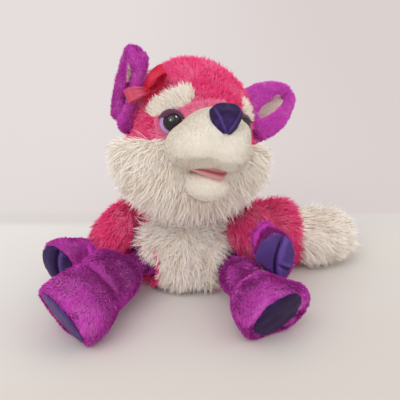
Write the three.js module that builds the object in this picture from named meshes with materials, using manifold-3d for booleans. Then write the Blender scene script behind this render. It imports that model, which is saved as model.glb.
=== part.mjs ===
// A seated plush fox: purple limbs, a pink coat, a white chest, cheeks and tail tip, and a bow at one ear.
// Units are millimetres, +Z is up, the toy faces -Y and its left side is +X.
// The origin is on the floor under the middle of its seat.
import * as THREE from 'three';
import { mergeVertices } from 'three/addons/utils/BufferGeometryUtils.js';
import Module from 'manifold-3d';

const wasm = await Module();
wasm.setup();

// Sewing and stuffing
const clearance = 0.3;
const restGap = 0.9;
const swingClearance = 2.6;
const coverWall = 2.4;
const settle = 0.5;
const weld = 0.0001;
const overrun = 400;

// Torso
const bodyHeight = 99;
const bodyWidth = 122;
const bodyDepth = 112;
const bodyTaperShare = 0.34;
const bodyFullness = 3;
const chestPile = 2.2;
const chestWidth = 94;
const chestHeight = 150;
const chestRise = 38;
const chestReach = 44;
const bagWidth = 60;
const bagThick = 22;
const bagRise = 9;

// Neck
const neckRise = 96;
const neckForward = 8;
const neckWidth = 56;
const collarShares = [
  [0, 0.15],
  [0.42, 0.15],
  [0.68, 0.07],
  [0.88, -0.1],
  [1.05, -0.33],
  [1.2, -0.75],
  [1.3, -1.3],
];

// Head
const headRise = 172;
const headForward = 20;
const headAside = 6;
const headTurn = { yaw: 20, pitch: 18, roll: 9 };
const skullWidth = 122;
const skullDepth = 118;
const skullHeight = 118;
const faceWall = 4;
const jowlWidth = 142;
const jowlDepth = 92;
const jowlHeight = 88;
const jowlForward = 8;
const jowlDrop = 36;
const cheekPile = 5;
const cheekTop = 20;
const cheekBack = 22;

// Face
const muzzleForward = 68;
const muzzleDrop = 27;
const lobeWidth = 48;
const lobeDepth = 70;
const lobeHeight = 46;
const lobeApart = 26;
const bridgeWidth = 50;
const bridgeDepth = 68;
const bridgeHeight = 42;
const bridgeDrop = 13;
const noseWidth = 29;
const noseHeight = 30;
const noseDepth = 19;
const noseForward = 97;
const noseDrop = 3;
const noseTaperShare = 0.42;
const lipWidth = 42;
const lipDepth = 40;
const lipHeight = 9;
const lipForward = 68;
const lipDrop = 50;
const chinWidth = 38;
const chinDepth = 42;
const chinHeight = 26;
const chinForward = 58;
const chinDrop = 60;
const maskWidth = 104;
const maskHeight = 44;
const maskForward = 55;
const maskDrop = 5;
const maskDepth = 76;
const browLength = 52;
const browHeight = 17;
const browDepth = 60;
const browApart = 64;
const browForward = 46;
const browRise = 13;
const browTilt = 31;

// Eyes
const eyeWidth = 22;
const eyeDome = 8;
const eyeApart = 66;
const eyeDrop = 6;
const eyeSink = 1.2;
const eyeTurn = { yaw: 29, pitch: 0 };
const pupilWidth = 17;
const pupilDepth = 11;
const pupilBulge = 1.5;
const pupilAside = 2;
const pupilRise = 1.5;
const stemWidth = 5;
const ribWidth = 6.4;
const ribThick = 1.2;
const ribCount = 4;
const washerWidth = 15;
const washerThick = 1.4;
const lidThick = 1.6;
const lidLine = 3.5;

// Ears
const earLength = 70;
const leftEarWidth = 88;
const rightEarWidth = 98;
const earThick = 16;
const earRootWidth = 20;
const earRoundShare = 0.6;
const earSpanShares = [0.36, 0.97];
const liningThick = 1.6;
const liningSpanShares = [0.1, 0.8];
const liningWrapShare = 0.86;
const rightEarAside = -54.5;
const rightEarForward = -14;
const rightEarRise = -5;
const rightEarSeat = 2;
const leftEarAside = 58;
const leftEarForward = -2;
const leftEarRise = 2;
const leftEarSeat = 1;
const earTurns = {
  right: { yaw: -20, pitch: 69, roll: -109, wraps: [118, 82] },
  left: { yaw: 110, pitch: 30, roll: -73, wraps: [100, 85] },
};
const earRange = [-12, 12];

// Bow
const bowAside = -52;
const bowForward = 29.5;
const bowRise = 21.4;
const knotWidth = 9;
const knotLength = 12;
const ribbonWidth = 13;
const ribbonThick = 1;
const ribbonPinchShare = 0.4;
const loopHeight = 10;
const satinLoopLength = 27;
const sheerLoopLength = 20;
const loopTurns = {
  bow_loop_satin: { yaw: 36, pitch: 47, roll: -72 },
  bow_loop_sheer: { yaw: -84, pitch: -18, roll: 70 },
};

// Arms
const shoulderApart = 104;
const shoulderForward = 10;
const shoulderRise = 66;
const shoulderWidth = 34;
const upperArmLength = 46;
const upperArmWidth = 48;
const elbowWidth = 34;
const pawLength = 42;
const pawWidth = 48;
const pawHeight = 54;
const pawBulge = 12;
const pawFlareShare = 0.7;
const palmWidth = 38;
const palmHeight = 46;
const armTurns = {
  right: { yaw: -60, pitch: -36, lift: [0, 25] },
  left: { yaw: 29, pitch: -6, lift: [0, 8] },
};
const pawTurns = {
  right: { yaw: -8, pitch: 24, bend: [-18, 0], palm: { yaw: 34, pitch: 0 } },
  left: { yaw: -4, pitch: 2, bend: [0, 18], palm: { yaw: -12, pitch: 4 } },
};

// Legs
const hipApart = 80;
const hipForward = 30;
const hipRise = 29.5;
const hipWidth = 42;
const toeLength = 14;
const legFullness = 3.2;
const legWidth = 70;
const legFlareShare = 1.6;
const soleWidth = 46;
const soleHeight = 56;
const rightLegReach = 132;
const leftLegReach = 118;
const legTurns = {
  right: { yaw: -29, sole: { yaw: -26, pitch: -28 }, swing: [0, 16] },
  left: { yaw: 22, sole: { yaw: 10, pitch: -28 }, swing: [-10, 0] },
};

// Satin pads
const padThick = 3.2;
const padShares = [[0, 1], [0.7, 0.85], [0.95, 0.4], [1, 0]];

// Tail
const tailAside = 42;
const tailBack = 24;
const tailRise = 35;
const tailRootWidth = 40;
const tailLength = 135;
const tailWidth = 72;
const tailFlareShare = 0.2;
const tailFillWidth = 34;
const tailFillShare = 1.2;
const tailSeam = 70;
const tailTurn = { yaw: 96 };
const tailRange = [0, 25];

// Facets
const broad = { sides: 20, steps: 10 };
const limb = { sides: 14, steps: 8 };
const small = { sides: 12, steps: 6 };
const inner = { sides: 8, steps: 5 };
const fine = { sides: 20, steps: 12 };
const leafSteps = 9;
const curlSteps = 7;

// Fabrics and plastics
const finish = (color, roughness) => new THREE.MeshStandardMaterial({ color, roughness, metalness: 0 });
const pinkPlush = finish('#d6386f', 0.95);
const purplePlush = finish('#a83a9c', 0.95);
const whitePlush = finish('#e8dfd2', 0.95);
const fleece = finish('#e9e2d8', 0.9);
const salmonPlush = finish('#ff6d95', 0.9);
const lipFelt = finish('#e6b3b0', 0.85);
const violetSatin = finish('#3f2a6b', 0.35);
const darkPlastic = finish('#17110f', 0.12);
const lilacPlastic = finish('#c9a2d6', 0.2);
const lidFelt = finish('#5a2347', 0.8);
const nylon = finish('#dddddd', 0.5);
const redSatin = finish('#c01a3c', 0.35);
const sheerRibbon = finish('#e0407c', 0.3);
const fibre = finish('#f4f2ee', 1);
const pellets = finish('#d9d4c8', 0.8);

const rad = THREE.MathUtils.degToRad;
const quarterTurn = 90;
const mirrorOf = { left: 1, right: -1 };
const sides = ['left', 'right'];

// A frame looks along its own -Y axis: yaw turns it towards +X, pitch lifts it and roll leans it.
function frameAt(parent, place, { yaw = 0, pitch = 0, roll = 0 } = {}) {
  const frame = new THREE.Group();
  frame.position.set(...place);
  frame.rotation.set(-rad(pitch), rad(roll), rad(yaw), 'ZXY');
  parent.add(frame);
  frame.updateWorldMatrix(true, false);
  return frame;
}

// A hinge at a frame's origin, about an axis given in that frame or in another.
const hingeOf = (frame, axis, axes = frame) => ({
  place: new THREE.Vector3().setFromMatrixPosition(frame.matrixWorld),
  axis: new THREE.Vector3(...axis).transformDirection(axes.matrixWorld),
});

// The same frame after a turn about a hinge's axis.
function turnedFrame(frame, hinge, degrees) {
  const place = new THREE.Matrix4().makeTranslation(...hinge.place);
  const turn = new THREE.Matrix4().makeRotationAxis(hinge.axis, rad(degrees));
  const back = place.clone().invert();
  return { matrixWorld: place.multiply(turn).multiply(back).multiply(frame.matrixWorld) };
}

// A closed geometry of a frame becomes a solid in the toy's own axes.
function solidIn(frame, geometry) {
  const bare = new THREE.BufferGeometry();
  bare.setAttribute('position', geometry.getAttribute('position'));
  bare.setIndex(geometry.getIndex());
  const merged = mergeVertices(bare, weld).applyMatrix4(frame.matrixWorld);
  const mesh = new wasm.Mesh({
    numProp: 3,
    vertProperties: Float32Array.from(merged.getAttribute('position').array),
    triVerts: Uint32Array.from(merged.getIndex().array),
  });
  return new wasm.Manifold(mesh);
}

// A finished solid goes back into its frame as a named mesh.
function addPiece(frame, name, solid, material) {
  const { vertProperties, triVerts } = solid.getMesh();
  const geometry = new THREE.BufferGeometry();
  geometry.setAttribute('position', new THREE.BufferAttribute(Float32Array.from(vertProperties), 3));
  geometry.setIndex(new THREE.BufferAttribute(Uint32Array.from(triVerts), 1));
  geometry.applyMatrix4(frame.matrixWorld.clone().invert());
  geometry.computeVertexNormals();
  const mesh = new THREE.Mesh(geometry, material);
  mesh.name = name;
  frame.add(mesh);
}

const cut = (solid, ...others) => others.reduce((rest, other) => rest.subtract(other), solid);
const join = (solid, ...others) => others.reduce((whole, other) => whole.add(other), solid);

// A stuffed form along its frame's Y axis, round at both ends: `root` lies behind it and `length` before it.
function plump(frame, size, facets, grow = 0) {
  const { length, width, height = width, root = 0, taper = 0, flare = 0, fullness = 2.6 } = size;
  const round = (t) => (1 - Math.abs(2 * t - 1) ** fullness) ** (1 / fullness);
  const swell = (t) => (1 - taper * t + flare * t ** 3) * round(t);
  const angles = Array.from({ length: facets.steps + 1 }, (_, i) => Math.PI * i / facets.steps);
  const shares = angles.map((angle) => (1 + Math.cos(angle)) / 2);
  const fullest = Math.max(...shares.map(swell));
  const span = root + length + 2 * grow;
  const profile = shares.map((t, i) => new THREE.Vector2(
    i % facets.steps ? (width / 2 + grow) * swell(t) / fullest : 0,
    root + grow - span * t,
  ));
  const geometry = new THREE.LatheGeometry(profile, facets.sides);
  geometry.scale(1, 1, (height + 2 * grow) / (width + 2 * grow));
  return solidIn(frame, geometry);
}

// An egg-shaped solid with its centre at a place of the frame.
function egg(frame, [width, depth, height], [x, y, z], facets, grow = 0, tilt = 0) {
  const geometry = new THREE.SphereGeometry(1, facets.sides, facets.steps);
  geometry.rotateX(Math.PI / 2);
  geometry.scale(width / 2 + grow, depth / 2 + grow, height / 2 + grow);
  geometry.rotateY(tilt);
  geometry.translate(x, y, z);
  return solidIn(frame, geometry);
}

// A ball of a joint, and the socket in which it turns about its frame's Z axis or, if it tilts too, every way.
// The socket's flats stay clear of the ball's corners.
const ball = (frame, width, facets = small, grow = 0) => (
  egg(frame, [width, width, width], [0, 0, 0], facets, grow)
);
function socket(frame, width, facets = small, tilts = false) {
  const wide = width / Math.cos(Math.PI / facets.sides);
  const tilt = tilts ? Math.cos(Math.PI / facets.steps / 2) : 1;
  return egg(frame, [wide / tilt, wide / tilt, tilts ? wide / tilt : width], [0, 0, 0], facets, clearance);
}

// A revolved solid about the frame's Y axis; its outline starts and ends on the axis.
function turned(frame, outline, facets, height = 1) {
  const points = outline.map(([radius, y]) => new THREE.Vector2(radius, y));
  const geometry = new THREE.LatheGeometry(points, facets.sides);
  geometry.scale(1, 1, height);
  return solidIn(frame, geometry);
}
const bar = (frame, width, from, to, facets = inner) => (
  turned(frame, [[0, from], [width / 2, from], [width / 2, to], [0, to]], facets)
);

// A block that fills a frame from `low` to `high` on each axis.
function block(frame, low, high) {
  const size = high.map((value, i) => value - low[i]);
  const geometry = new THREE.BoxGeometry(...size);
  geometry.translate(...low.map((value, i) => value + size[i] / 2));
  return solidIn(frame, geometry);
}

// All that lies further along a frame than a plane across it.
const beyond = (frame, reach = 0) => block(frame, [-overrun, -overrun, -overrun], [overrun, -reach, overrun]);

const toy = new THREE.Group();
const floor = block(toy, [-overrun, -overrun, -overrun], [overrun, overrun, 0]);

// Frames
const bodyFrame = frameAt(toy, [0, 0, -settle], { pitch: quarterTurn });
const neckFrame = frameAt(toy, [0, -neckForward, neckRise]);
const headFrame = frameAt(toy, [headAside, -headForward, headRise], headTurn);
const tailFrame = frameAt(toy, [tailAside, tailBack, tailRise], tailTurn);
const armFrame = {};
const shoulderFrame = {};
const pawFrame = {};
const legReach = { left: leftLegReach, right: rightLegReach };
const legFrame = {};
const soleFrame = {};
const eyeFrame = {};
const earRoots = {
  left: [leftEarAside, -leftEarForward, leftEarRise],
  right: [rightEarAside, -rightEarForward, rightEarRise],
};
const earSeats = { left: leftEarSeat, right: rightEarSeat };
const earWidths = { left: leftEarWidth, right: rightEarWidth };
const earFrame = {};
const earRootFrame = {};
const eyeReachShare = Math.sqrt(1 - (eyeApart / skullWidth) ** 2 - (2 * eyeDrop / skullHeight) ** 2);
for (const side of sides) {
  const mirror = mirrorOf[side];
  armFrame[side] = frameAt(toy, [mirror * shoulderApart / 2, -shoulderForward, shoulderRise], armTurns[side]);
  shoulderFrame[side] = frameAt(armFrame[side], [0, 0, 0], { roll: quarterTurn });
  pawFrame[side] = frameAt(armFrame[side], [0, -upperArmLength, 0], pawTurns[side]);
  legFrame[side] = frameAt(toy, [mirror * hipApart / 2, -hipForward, hipRise], legTurns[side]);
  soleFrame[side] = frameAt(legFrame[side], [0, -legReach[side], 0], legTurns[side].sole);
  const eyePlace = [mirror * eyeApart / 2, eyeSink - eyeReachShare * skullDepth / 2, -eyeDrop];
  eyeFrame[side] = frameAt(headFrame, eyePlace, { ...eyeTurn, yaw: mirror * eyeTurn.yaw });
  earFrame[side] = frameAt(headFrame, earRoots[side], earTurns[side]);
  earRootFrame[side] = frameAt(earFrame[side], [0, 0, 0], { roll: quarterTurn });
}

// The torso's form, and where it stands as seen from what turns on it
const bodyForm = (grow = 0, facets = broad, frame = bodyFrame) => plump(frame, {
  length: bodyHeight,
  width: bodyWidth,
  height: bodyDepth,
  taper: bodyTaperShare,
  fullness: bodyFullness,
}, facets, grow);
const torsoPassing = (hinge, range) => range.map((angle) => (
  bodyForm(chestPile + swingClearance, limb, turnedFrame(bodyFrame, hinge, -angle))
));

const tailSize = {
  length: tailLength,
  width: tailWidth,
  root: tailRootWidth / 2,
  flare: tailFlareShare,
  fullness: 2.4,
};
const tailPassing = (hinge, range) => range.map((angle) => (
  plump(turnedFrame(tailFrame, hinge, -angle), tailSize, limb, restGap)
));

// Torso
const sockets = [socket(neckFrame, neckWidth, fine), socket(tailFrame, tailRootWidth)];
for (const side of sides) {
  sockets.push(socket(legFrame[side], hipWidth), socket(shoulderFrame[side], shoulderWidth));
}
const chestWindow = (grow = 0) => egg(
  neckFrame,
  [chestWidth, 2 * chestReach, chestHeight],
  [0, neckForward - bodyDepth / 2, chestRise - neckRise],
  limb,
  grow,
);
const bag = (grow = 0) => egg(bodyFrame, [bagWidth, bagThick, bagWidth], [0, -bagRise, 0], inner, grow);
const bodyCavity = bodyForm(-coverWall, small);
const bodyCore = bodyForm(-coverWall - clearance, small);
const bodyShell = cut(bodyForm(), bodyCavity, floor, ...sockets);
addPiece(toy, 'body_cover', cut(bodyShell, chestWindow(clearance)), pinkPlush);
addPiece(
  toy,
  'chest_panel',
  cut(bodyForm(chestPile), bodyCavity, floor, ...sockets).intersect(chestWindow()),
  whitePlush,
);
addPiece(toy, 'body_fill', cut(bodyCore, bag(clearance), ...sockets), fibre);
addPiece(toy, 'pellet_bag', cut(bag(), ...sockets).intersect(bodyCore), pellets);
addPiece(neckFrame, 'neck_core', ball(neckFrame, neckWidth, fine), fibre);

// A stuffed limb: a cover round a filling, which shows at the opening of its root
function stuffed(frame, name, form, core, opening, material, beside = () => []) {
  const mouth = bar(frame, opening.width, opening.from, opening.to);
  const hollow = cut(plump(frame, core, inner), ...beside(coverWall));
  addPiece(frame, `${name}_cover`, cut(form, hollow, mouth), material);
  const fill = cut(plump(frame, core, inner, -clearance), ...beside(coverWall + clearance));
  addPiece(frame, `${name}_fill`, fill, fibre);
}

// A puffed satin pad on the flat end of a limb
function satinPad(frame, width, height) {
  const outline = padShares.map(([radius, rise]) => [radius * width / 2, -rise * padThick - clearance]);
  return turned(frame, [...outline, [0, -clearance]], limb, height / width);
}

// Legs
const legRoom = {};
for (const side of sides) {
  const frame = legFrame[side];
  const sole = soleFrame[side];
  const hip = hingeOf(frame, [0, 0, 1], toy);
  const { swing } = legTurns[side];
  const size = {
    length: legReach[side] + toeLength,
    width: legWidth,
    root: hipWidth / 2,
    flare: legFlareShare,
    fullness: legFullness,
  };
  legRoom[side] = (grow) => join(
    plump(frame, size, limb, restGap + grow),
    socket(frame, hipWidth + 2 * grow),
  );
  const outside = cut(plump(frame, size, limb), ...torsoPassing(hip, swing), beyond(sole), floor);
  const form = join(outside, ball(frame, hipWidth));
  const core = {
    length: legReach[side] - soleHeight / 4,
    width: hipWidth - 4 * coverWall,
    root: hipWidth / 2 - 2 * coverWall,
    flare: legFlareShare,
  };
  stuffed(frame, `${side}_leg`, form, core, { width: hipWidth / 2, from: 0, to: hipWidth }, purplePlush);
  addPiece(sole, `${side}_sole_pad`, cut(satinPad(sole, soleWidth, soleHeight), floor), violetSatin);
}

// Arms
for (const side of sides) {
  const frame = armFrame[side];
  const paw = pawFrame[side];
  const shoulder = hingeOf(frame, [-1, 0, 0]);
  const elbow = hingeOf(paw, [0, 0, 1]);
  const size = { length: upperArmLength, width: upperArmWidth, root: shoulderWidth / 2, fullness: 3 };
  const { lift } = armTurns[side];
  const past = [...torsoPassing(shoulder, lift), ...tailPassing(shoulder, lift), legRoom[side](0)];
  const upper = cut(plump(frame, size, limb), ...past);
  const form = join(upper, ball(shoulderFrame[side], shoulderWidth), ball(paw, elbowWidth));
  const core = {
    length: upperArmLength,
    width: shoulderWidth - 5 * coverWall,
    root: shoulderWidth / 2 - 2 * coverWall,
  };
  const mouth = { width: shoulderWidth / 2, from: 0, to: shoulderWidth };
  stuffed(frame, `${side}_upper_arm`, form, core, mouth, pinkPlush);

  const palm = frameAt(paw, [0, -pawLength, 0], pawTurns[side].palm);
  const pawSize = {
    length: pawLength + pawBulge,
    width: pawWidth,
    height: pawHeight,
    root: elbowWidth / 4,
    flare: pawFlareShare,
  };
  const upperPassing = pawTurns[side].bend.map((angle) => (
    plump(turnedFrame(frame, elbow, -angle), size, limb, swingClearance)
  ));
  const pawOutside = cut(plump(paw, pawSize, limb), legRoom[side](0));
  const pawForm = cut(pawOutside, socket(paw, elbowWidth), ...upperPassing, beyond(palm));
  const pawCore = {
    length: pawLength - palmWidth / 4,
    width: pawWidth - 4 * coverWall,
    height: pawHeight - 4 * coverWall,
    root: -elbowWidth / 2 - coverWall,
  };
  const pawMouth = { width: elbowWidth / 2, from: -pawLength / 2 - coverWall, to: 0 };
  stuffed(paw, `${side}_paw`, pawForm, pawCore, pawMouth, purplePlush, (grow) => [legRoom[side](grow)]);
  const palmPad = cut(satinPad(palm, palmWidth, palmHeight), legRoom[side](0));
  addPiece(palm, `${side}_palm_pad`, palmPad, violetSatin);
}

// Tail
const tailHinge = hingeOf(tailFrame, [0, 0, 1]);
const tailCore = {
  length: tailLength - 2 * coverWall,
  width: tailFillWidth,
  root: tailRootWidth / 2 - 2 * coverWall,
  flare: tailFillShare,
};
const tailOutside = cut(plump(tailFrame, tailSize, limb), ...torsoPassing(tailHinge, tailRange), floor);
const tailForm = join(tailOutside, ball(tailFrame, tailRootWidth));
const tailMouth = bar(tailFrame, tailRootWidth / 2, 0, tailRootWidth);
const tailCover = cut(tailForm, plump(tailFrame, tailCore, inner), tailMouth);
const tailTip = beyond(tailFrame, tailSeam + clearance);
addPiece(tailFrame, 'tail_root_cover', cut(tailCover, beyond(tailFrame, tailSeam)), pinkPlush);
addPiece(tailFrame, 'tail_tip_cover', tailCover.intersect(tailTip), whitePlush);
addPiece(tailFrame, 'tail_fill', plump(tailFrame, tailCore, inner, -clearance), fibre);

// Head forms
const collarOutline = collarShares.map(([radius, rise]) => [radius * bodyWidth / 2, -rise * bodyWidth / 2]);
const collar = turned(frameAt(neckFrame, [0, 0, 0], { pitch: quarterTurn }), [...collarOutline, [0, overrun]], small);

function headForm(grow = 0, facets = broad) {
  const skull = egg(headFrame, [skullWidth, skullDepth, skullHeight], [0, 0, 0], facets, grow);
  const jowlSize = [jowlWidth, jowlDepth, jowlHeight];
  const jowls = egg(headFrame, jowlSize, [0, -jowlForward, -jowlDrop], facets, grow);
  return join(skull, jowls);
}

function muzzleForm(grow = 0) {
  const lobes = sides.map((side) => egg(
    headFrame,
    [lobeWidth, lobeDepth, lobeHeight],
    [mirrorOf[side] * lobeApart / 2, -muzzleForward, -muzzleDrop],
    small,
    grow,
  ));
  const bridgeSize = [bridgeWidth, bridgeDepth, bridgeHeight];
  const bridge = egg(headFrame, bridgeSize, [0, -muzzleForward, -bridgeDrop], small, grow);
  return join(bridge, ...lobes);
}

const lipForm = (grow = 0) => (
  egg(headFrame, [lipWidth, lipDepth, lipHeight], [0, -lipForward, -lipDrop], small, grow)
);
const chinForm = (grow = 0) => (
  egg(headFrame, [chinWidth, chinDepth, chinHeight], [0, -chinForward, -chinDrop], small, grow)
);
const maskForm = (grow = 0) => (
  egg(headFrame, [maskWidth, maskDepth, maskHeight], [0, -maskForward, -maskDrop], limb, grow)
);
const browForm = (side, grow = 0) => egg(
  headFrame,
  [browLength, browDepth, browHeight],
  [mirrorOf[side] * browApart / 2, -browForward, browRise],
  small,
  grow,
  mirrorOf[side] * rad(browTilt),
);
const cheekBlock = (side, grow = 0) => {
  const ends = [mirrorOf[side] * (clearance / 2 - grow), mirrorOf[side] * overrun].sort((a, b) => a - b);
  return block(headFrame, [ends[0], -overrun, -overrun], [ends[1], cheekBack + grow, -cheekTop + grow]);
};

// Eyes: a lilac dome with a ribbed shank, a dark lens in a recess, a lid and a lock washer behind the face
const washerSet = faceWall + 2 * clearance;
const ribPitch = washerThick + 2 * clearance + ribThick;
const shankLength = washerSet + ribPitch * (ribCount - 1) + ribThick;
const seatWidth = eyeWidth + 2 * lidThick + 4 * clearance;
const domeOutline = (grow) => Array.from({ length: small.steps + 1 }, (_, i) => {
  const angle = Math.PI / 2 * i / small.steps;
  return [(eyeWidth / 2 + grow) * Math.sin(angle), -(eyeDome + grow) * Math.cos(angle)];
});
const eyeSeats = [];
const shankBores = [];
const washerPockets = [];
const lidRooms = [];
const shankOutline = [[0, -eyeDome / 4], [stemWidth / 2, -eyeDome / 4]];
for (let i = 0; i < ribCount; i += 1) {
  const from = washerSet - ribThick - clearance + i * ribPitch;
  shankOutline.push([stemWidth / 2, from], [ribWidth / 2, from], [stemWidth / 2, from + ribThick]);
}
shankOutline.push([0, shankLength - clearance]);
for (const side of sides) {
  const frame = eyeFrame[side];
  const lens = (grow) => egg(
    frame,
    [pupilWidth, pupilDepth, pupilWidth],
    [-mirrorOf[side] * pupilAside, pupilDepth / 2 - eyeDome - pupilBulge, pupilRise],
    small,
    grow,
  ).intersect(beyond(frame, eyeDome / 2 - grow));
  const dome = turned(frame, [...domeOutline(0), [0, 0]], small);
  const eye = join(cut(dome, lens(clearance)), turned(frame, shankOutline, inner));
  addPiece(frame, `${side}_eye`, eye, lilacPlastic);
  addPiece(frame, `${side}_pupil`, lens(0), darkPlastic);
  const washer = bar(frame, washerWidth, washerSet, washerSet + washerThick);
  const hole = bar(frame, stemWidth + 2 * clearance, 0, shankLength);
  addPiece(frame, `${side}_eye_washer`, cut(washer, hole), nylon);
  const lidOutside = turned(frame, [...domeOutline(clearance + lidThick), [0, 0]], small);
  const lidInside = turned(frame, [...domeOutline(clearance), [0, clearance]], small);
  const above = block(frame, [-overrun, -overrun, lidLine], [overrun, overrun, overrun]);
  addPiece(frame, `${side}_eyelid`, cut(lidOutside, lidInside, lens(clearance)).intersect(above), lidFelt);
  eyeSeats.push(bar(frame, seatWidth, -overrun, clearance, small));
  shankBores.push(bar(frame, ribWidth + 2 * clearance, 0, shankLength + clearance));
  washerPockets.push(bar(frame, washerWidth + 2 * clearance, washerSet - clearance, shankLength + clearance));
  lidRooms.push(turned(frame, [...domeOutline(lidThick + 2 * clearance), [0, 0]], small));
}

// Head
const neckSocket = socket(neckFrame, neckWidth, fine, true);
const earSockets = sides.map((side) => socket(earRootFrame[side], earRootWidth));
const below = [neckSocket, collar];
const faceCuts = [...below, ...eyeSeats, ...shankBores, ...washerPockets, ...earSockets];
const headCavity = headForm(-faceWall, small);
const headShell = cut(headForm(), headCavity);
const cheeksOff = sides.map((side) => cheekBlock(side, clearance));
const browsOff = sides.map((side) => browForm(side, clearance));

const crown = cut(headShell, ...cheeksOff, ...browsOff, maskForm(clearance), ...faceCuts);
addPiece(headFrame, 'crown_cover', crown, pinkPlush);
addPiece(
  headFrame,
  'face_mask',
  cut(headShell.intersect(maskForm()), ...cheeksOff, ...browsOff, ...faceCuts),
  salmonPlush,
);
for (const side of sides) {
  const brow = cut(headShell.intersect(browForm(side)), ...cheeksOff, ...faceCuts);
  addPiece(headFrame, `${side}_brow`, brow, whitePlush);
  const cheekShell = cut(headForm(cheekPile), headCavity).intersect(cheekBlock(side));
  const around = [muzzleForm(clearance), lipForm(clearance), chinForm(clearance)];
  addPiece(headFrame, `${side}_cheek`, cut(cheekShell, ...around, ...faceCuts), whitePlush);
}
const muzzle = cut(muzzleForm(), headForm(clearance), lipForm(clearance), ...lidRooms);
addPiece(headFrame, 'muzzle', muzzle, fleece);
const chin = cut(chinForm(), headForm(clearance), muzzleForm(clearance), lipForm(clearance));
addPiece(headFrame, 'chin', chin, fleece);
addPiece(headFrame, 'lips', cut(lipForm(), headForm(clearance)), lipFelt);
addPiece(
  headFrame,
  'head_fill',
  cut(
    headForm(-faceWall - clearance, small),
    ...below,
    ...shankBores,
    ...washerPockets,
    ...earSockets,
  ),
  fibre,
);

// Nose
const noseFrame = frameAt(headFrame, [0, -noseForward, -noseDrop - noseHeight / 2], { pitch: quarterTurn });
const nose = plump(noseFrame, {
  length: noseHeight,
  width: noseWidth,
  height: noseDepth,
  taper: -noseTaperShare,
  fullness: 2.2,
}, small);
addPiece(headFrame, 'nose', cut(nose, muzzleForm(clearance), headForm(clearance)), violetSatin);

// Ears: a curled leaf, open towards its frame's +Z, from one share of its length to another
function leaf(frame, side, [from, to], wrapShare, walls) {
  const places = [];
  const faces = [];
  const ring = 2 * (curlSteps + 1);
  for (let i = 0; i <= leafSteps; i += 1) {
    const t = from + (to - from) * i / leafSteps;
    const half = rad(THREE.MathUtils.lerp(...earTurns[side].wraps, t));
    const round = Math.sin(Math.PI * THREE.MathUtils.lerp(...earSpanShares, t)) ** earRoundShare;
    const width = earWidths[side] * round;
    const [outside, inside] = walls(width / (2 * half), round, half);
    for (let j = 0; j < ring; j += 1) {
      const k = j <= curlSteps ? j : ring - 1 - j;
      const angle = half * wrapShare * (2 * k / curlSteps - 1);
      const radius = j <= curlSteps ? outside : inside;
      places.push(radius * Math.sin(angle), -earLength * t, earSeats[side] - radius * Math.cos(angle));
    }
  }
  const quad = (a, b, c, d) => faces.push(a, b, c, a, c, d);
  for (let i = 0; i < leafSteps; i += 1) {
    for (let j = 0; j < ring; j += 1) {
      const next = (j + 1) % ring;
      quad(i * ring + j, i * ring + next, (i + 1) * ring + next, (i + 1) * ring + j);
    }
  }
  for (let j = 0; j < curlSteps; j += 1) {
    const last = leafSteps * ring;
    quad(j + 1, j, ring - 1 - j, ring - 2 - j);
    quad(last + j, last + j + 1, last + ring - 2 - j, last + ring - 1 - j);
  }
  const geometry = new THREE.BufferGeometry();
  geometry.setAttribute('position', new THREE.Float32BufferAttribute(places, 3));
  geometry.setIndex(faces);
  return solidIn(frame, geometry);
}
const flesh = (share) => earThick * Math.sqrt(share);
const earWalls = (radius, share) => [radius, radius - flesh(share)];
const liningWalls = (radius, share, half) => {
  const outside = (radius - flesh(share)) * Math.cos(half / curlSteps) - clearance;
  return [outside, outside - liningThick];
};
for (const side of sides) {
  const frame = earFrame[side];
  const hinge = hingeOf(frame, [1, 0, 0]);
  const headPassing = earRange.map((angle) => {
    const passed = turnedFrame(headFrame, hinge, -angle);
    return egg(passed, [skullWidth, skullDepth, skullHeight], [0, 0, 0], broad, swingClearance);
  });
  const root = (grow) => ball(earRootFrame[side], earRootWidth, small, grow);
  const outside = cut(leaf(frame, side, [0, 1], 1, earWalls), ...headPassing);
  addPiece(frame, `${side}_ear_shell`, join(outside, root(0)), purplePlush);
  const lining = leaf(frame, side, liningSpanShares, liningWrapShare, liningWalls);
  addPiece(frame, `${side}_ear_lining`, cut(lining, ...headPassing, root(clearance)), fleece);
}

// Bow
const bowFrame = frameAt(headFrame, [bowAside, -bowForward, bowRise]);
const knot = (grow = 0) => egg(bowFrame, [knotWidth, knotWidth, knotLength], [0, 0, 0], small, grow);
addPiece(bowFrame, 'bow_knot', cut(knot(), headForm(clearance)), redSatin);
for (const [name, length] of [['bow_loop_satin', satinLoopLength], ['bow_loop_sheer', sheerLoopLength]]) {
  const frame = frameAt(bowFrame, [0, 0, 0], loopTurns[name]);
  const shape = new THREE.Shape().absellipse(length / 2, 0, length / 2, loopHeight / 2, 0, 2 * Math.PI);
  const [long, high] = [length / 2 - ribbonThick, loopHeight / 2 - ribbonThick];
  shape.holes.push(new THREE.Path().absellipse(length / 2, 0, long, high, 0, 2 * Math.PI));
  const band = new THREE.ExtrudeGeometry(shape, {
    depth: ribbonWidth,
    bevelEnabled: false,
    curveSegments: small.steps,
  });
  band.translate(0, 0, -ribbonWidth / 2);
  const place = band.getAttribute('position');
  for (let i = 0; i < place.count; i += 1) {
    const share = THREE.MathUtils.lerp(ribbonPinchShare, 1, Math.sqrt(Math.max(0, place.getX(i) / length)));
    place.setXYZ(i, -place.getZ(i) * share, -place.getX(i), place.getY(i));
  }
  const material = name === 'bow_loop_satin' ? redSatin : sheerRibbon;
  addPiece(frame, name, cut(solidIn(frame, band), knot(clearance), headForm(clearance)), material);
}

export default toy;
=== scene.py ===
"""A seated plush fox, sewn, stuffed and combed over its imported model. Lengths are metres, +Z is up."""
import math

import bmesh
import bpy
import numpy as np
from bpy.props import FloatProperty, FloatVectorProperty, IntProperty, PointerProperty
from bpy.types import Operator, Panel, PropertyGroup
from mathutils import Matrix, Vector, noise
from mathutils.bvhtree import BVHTree


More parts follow.
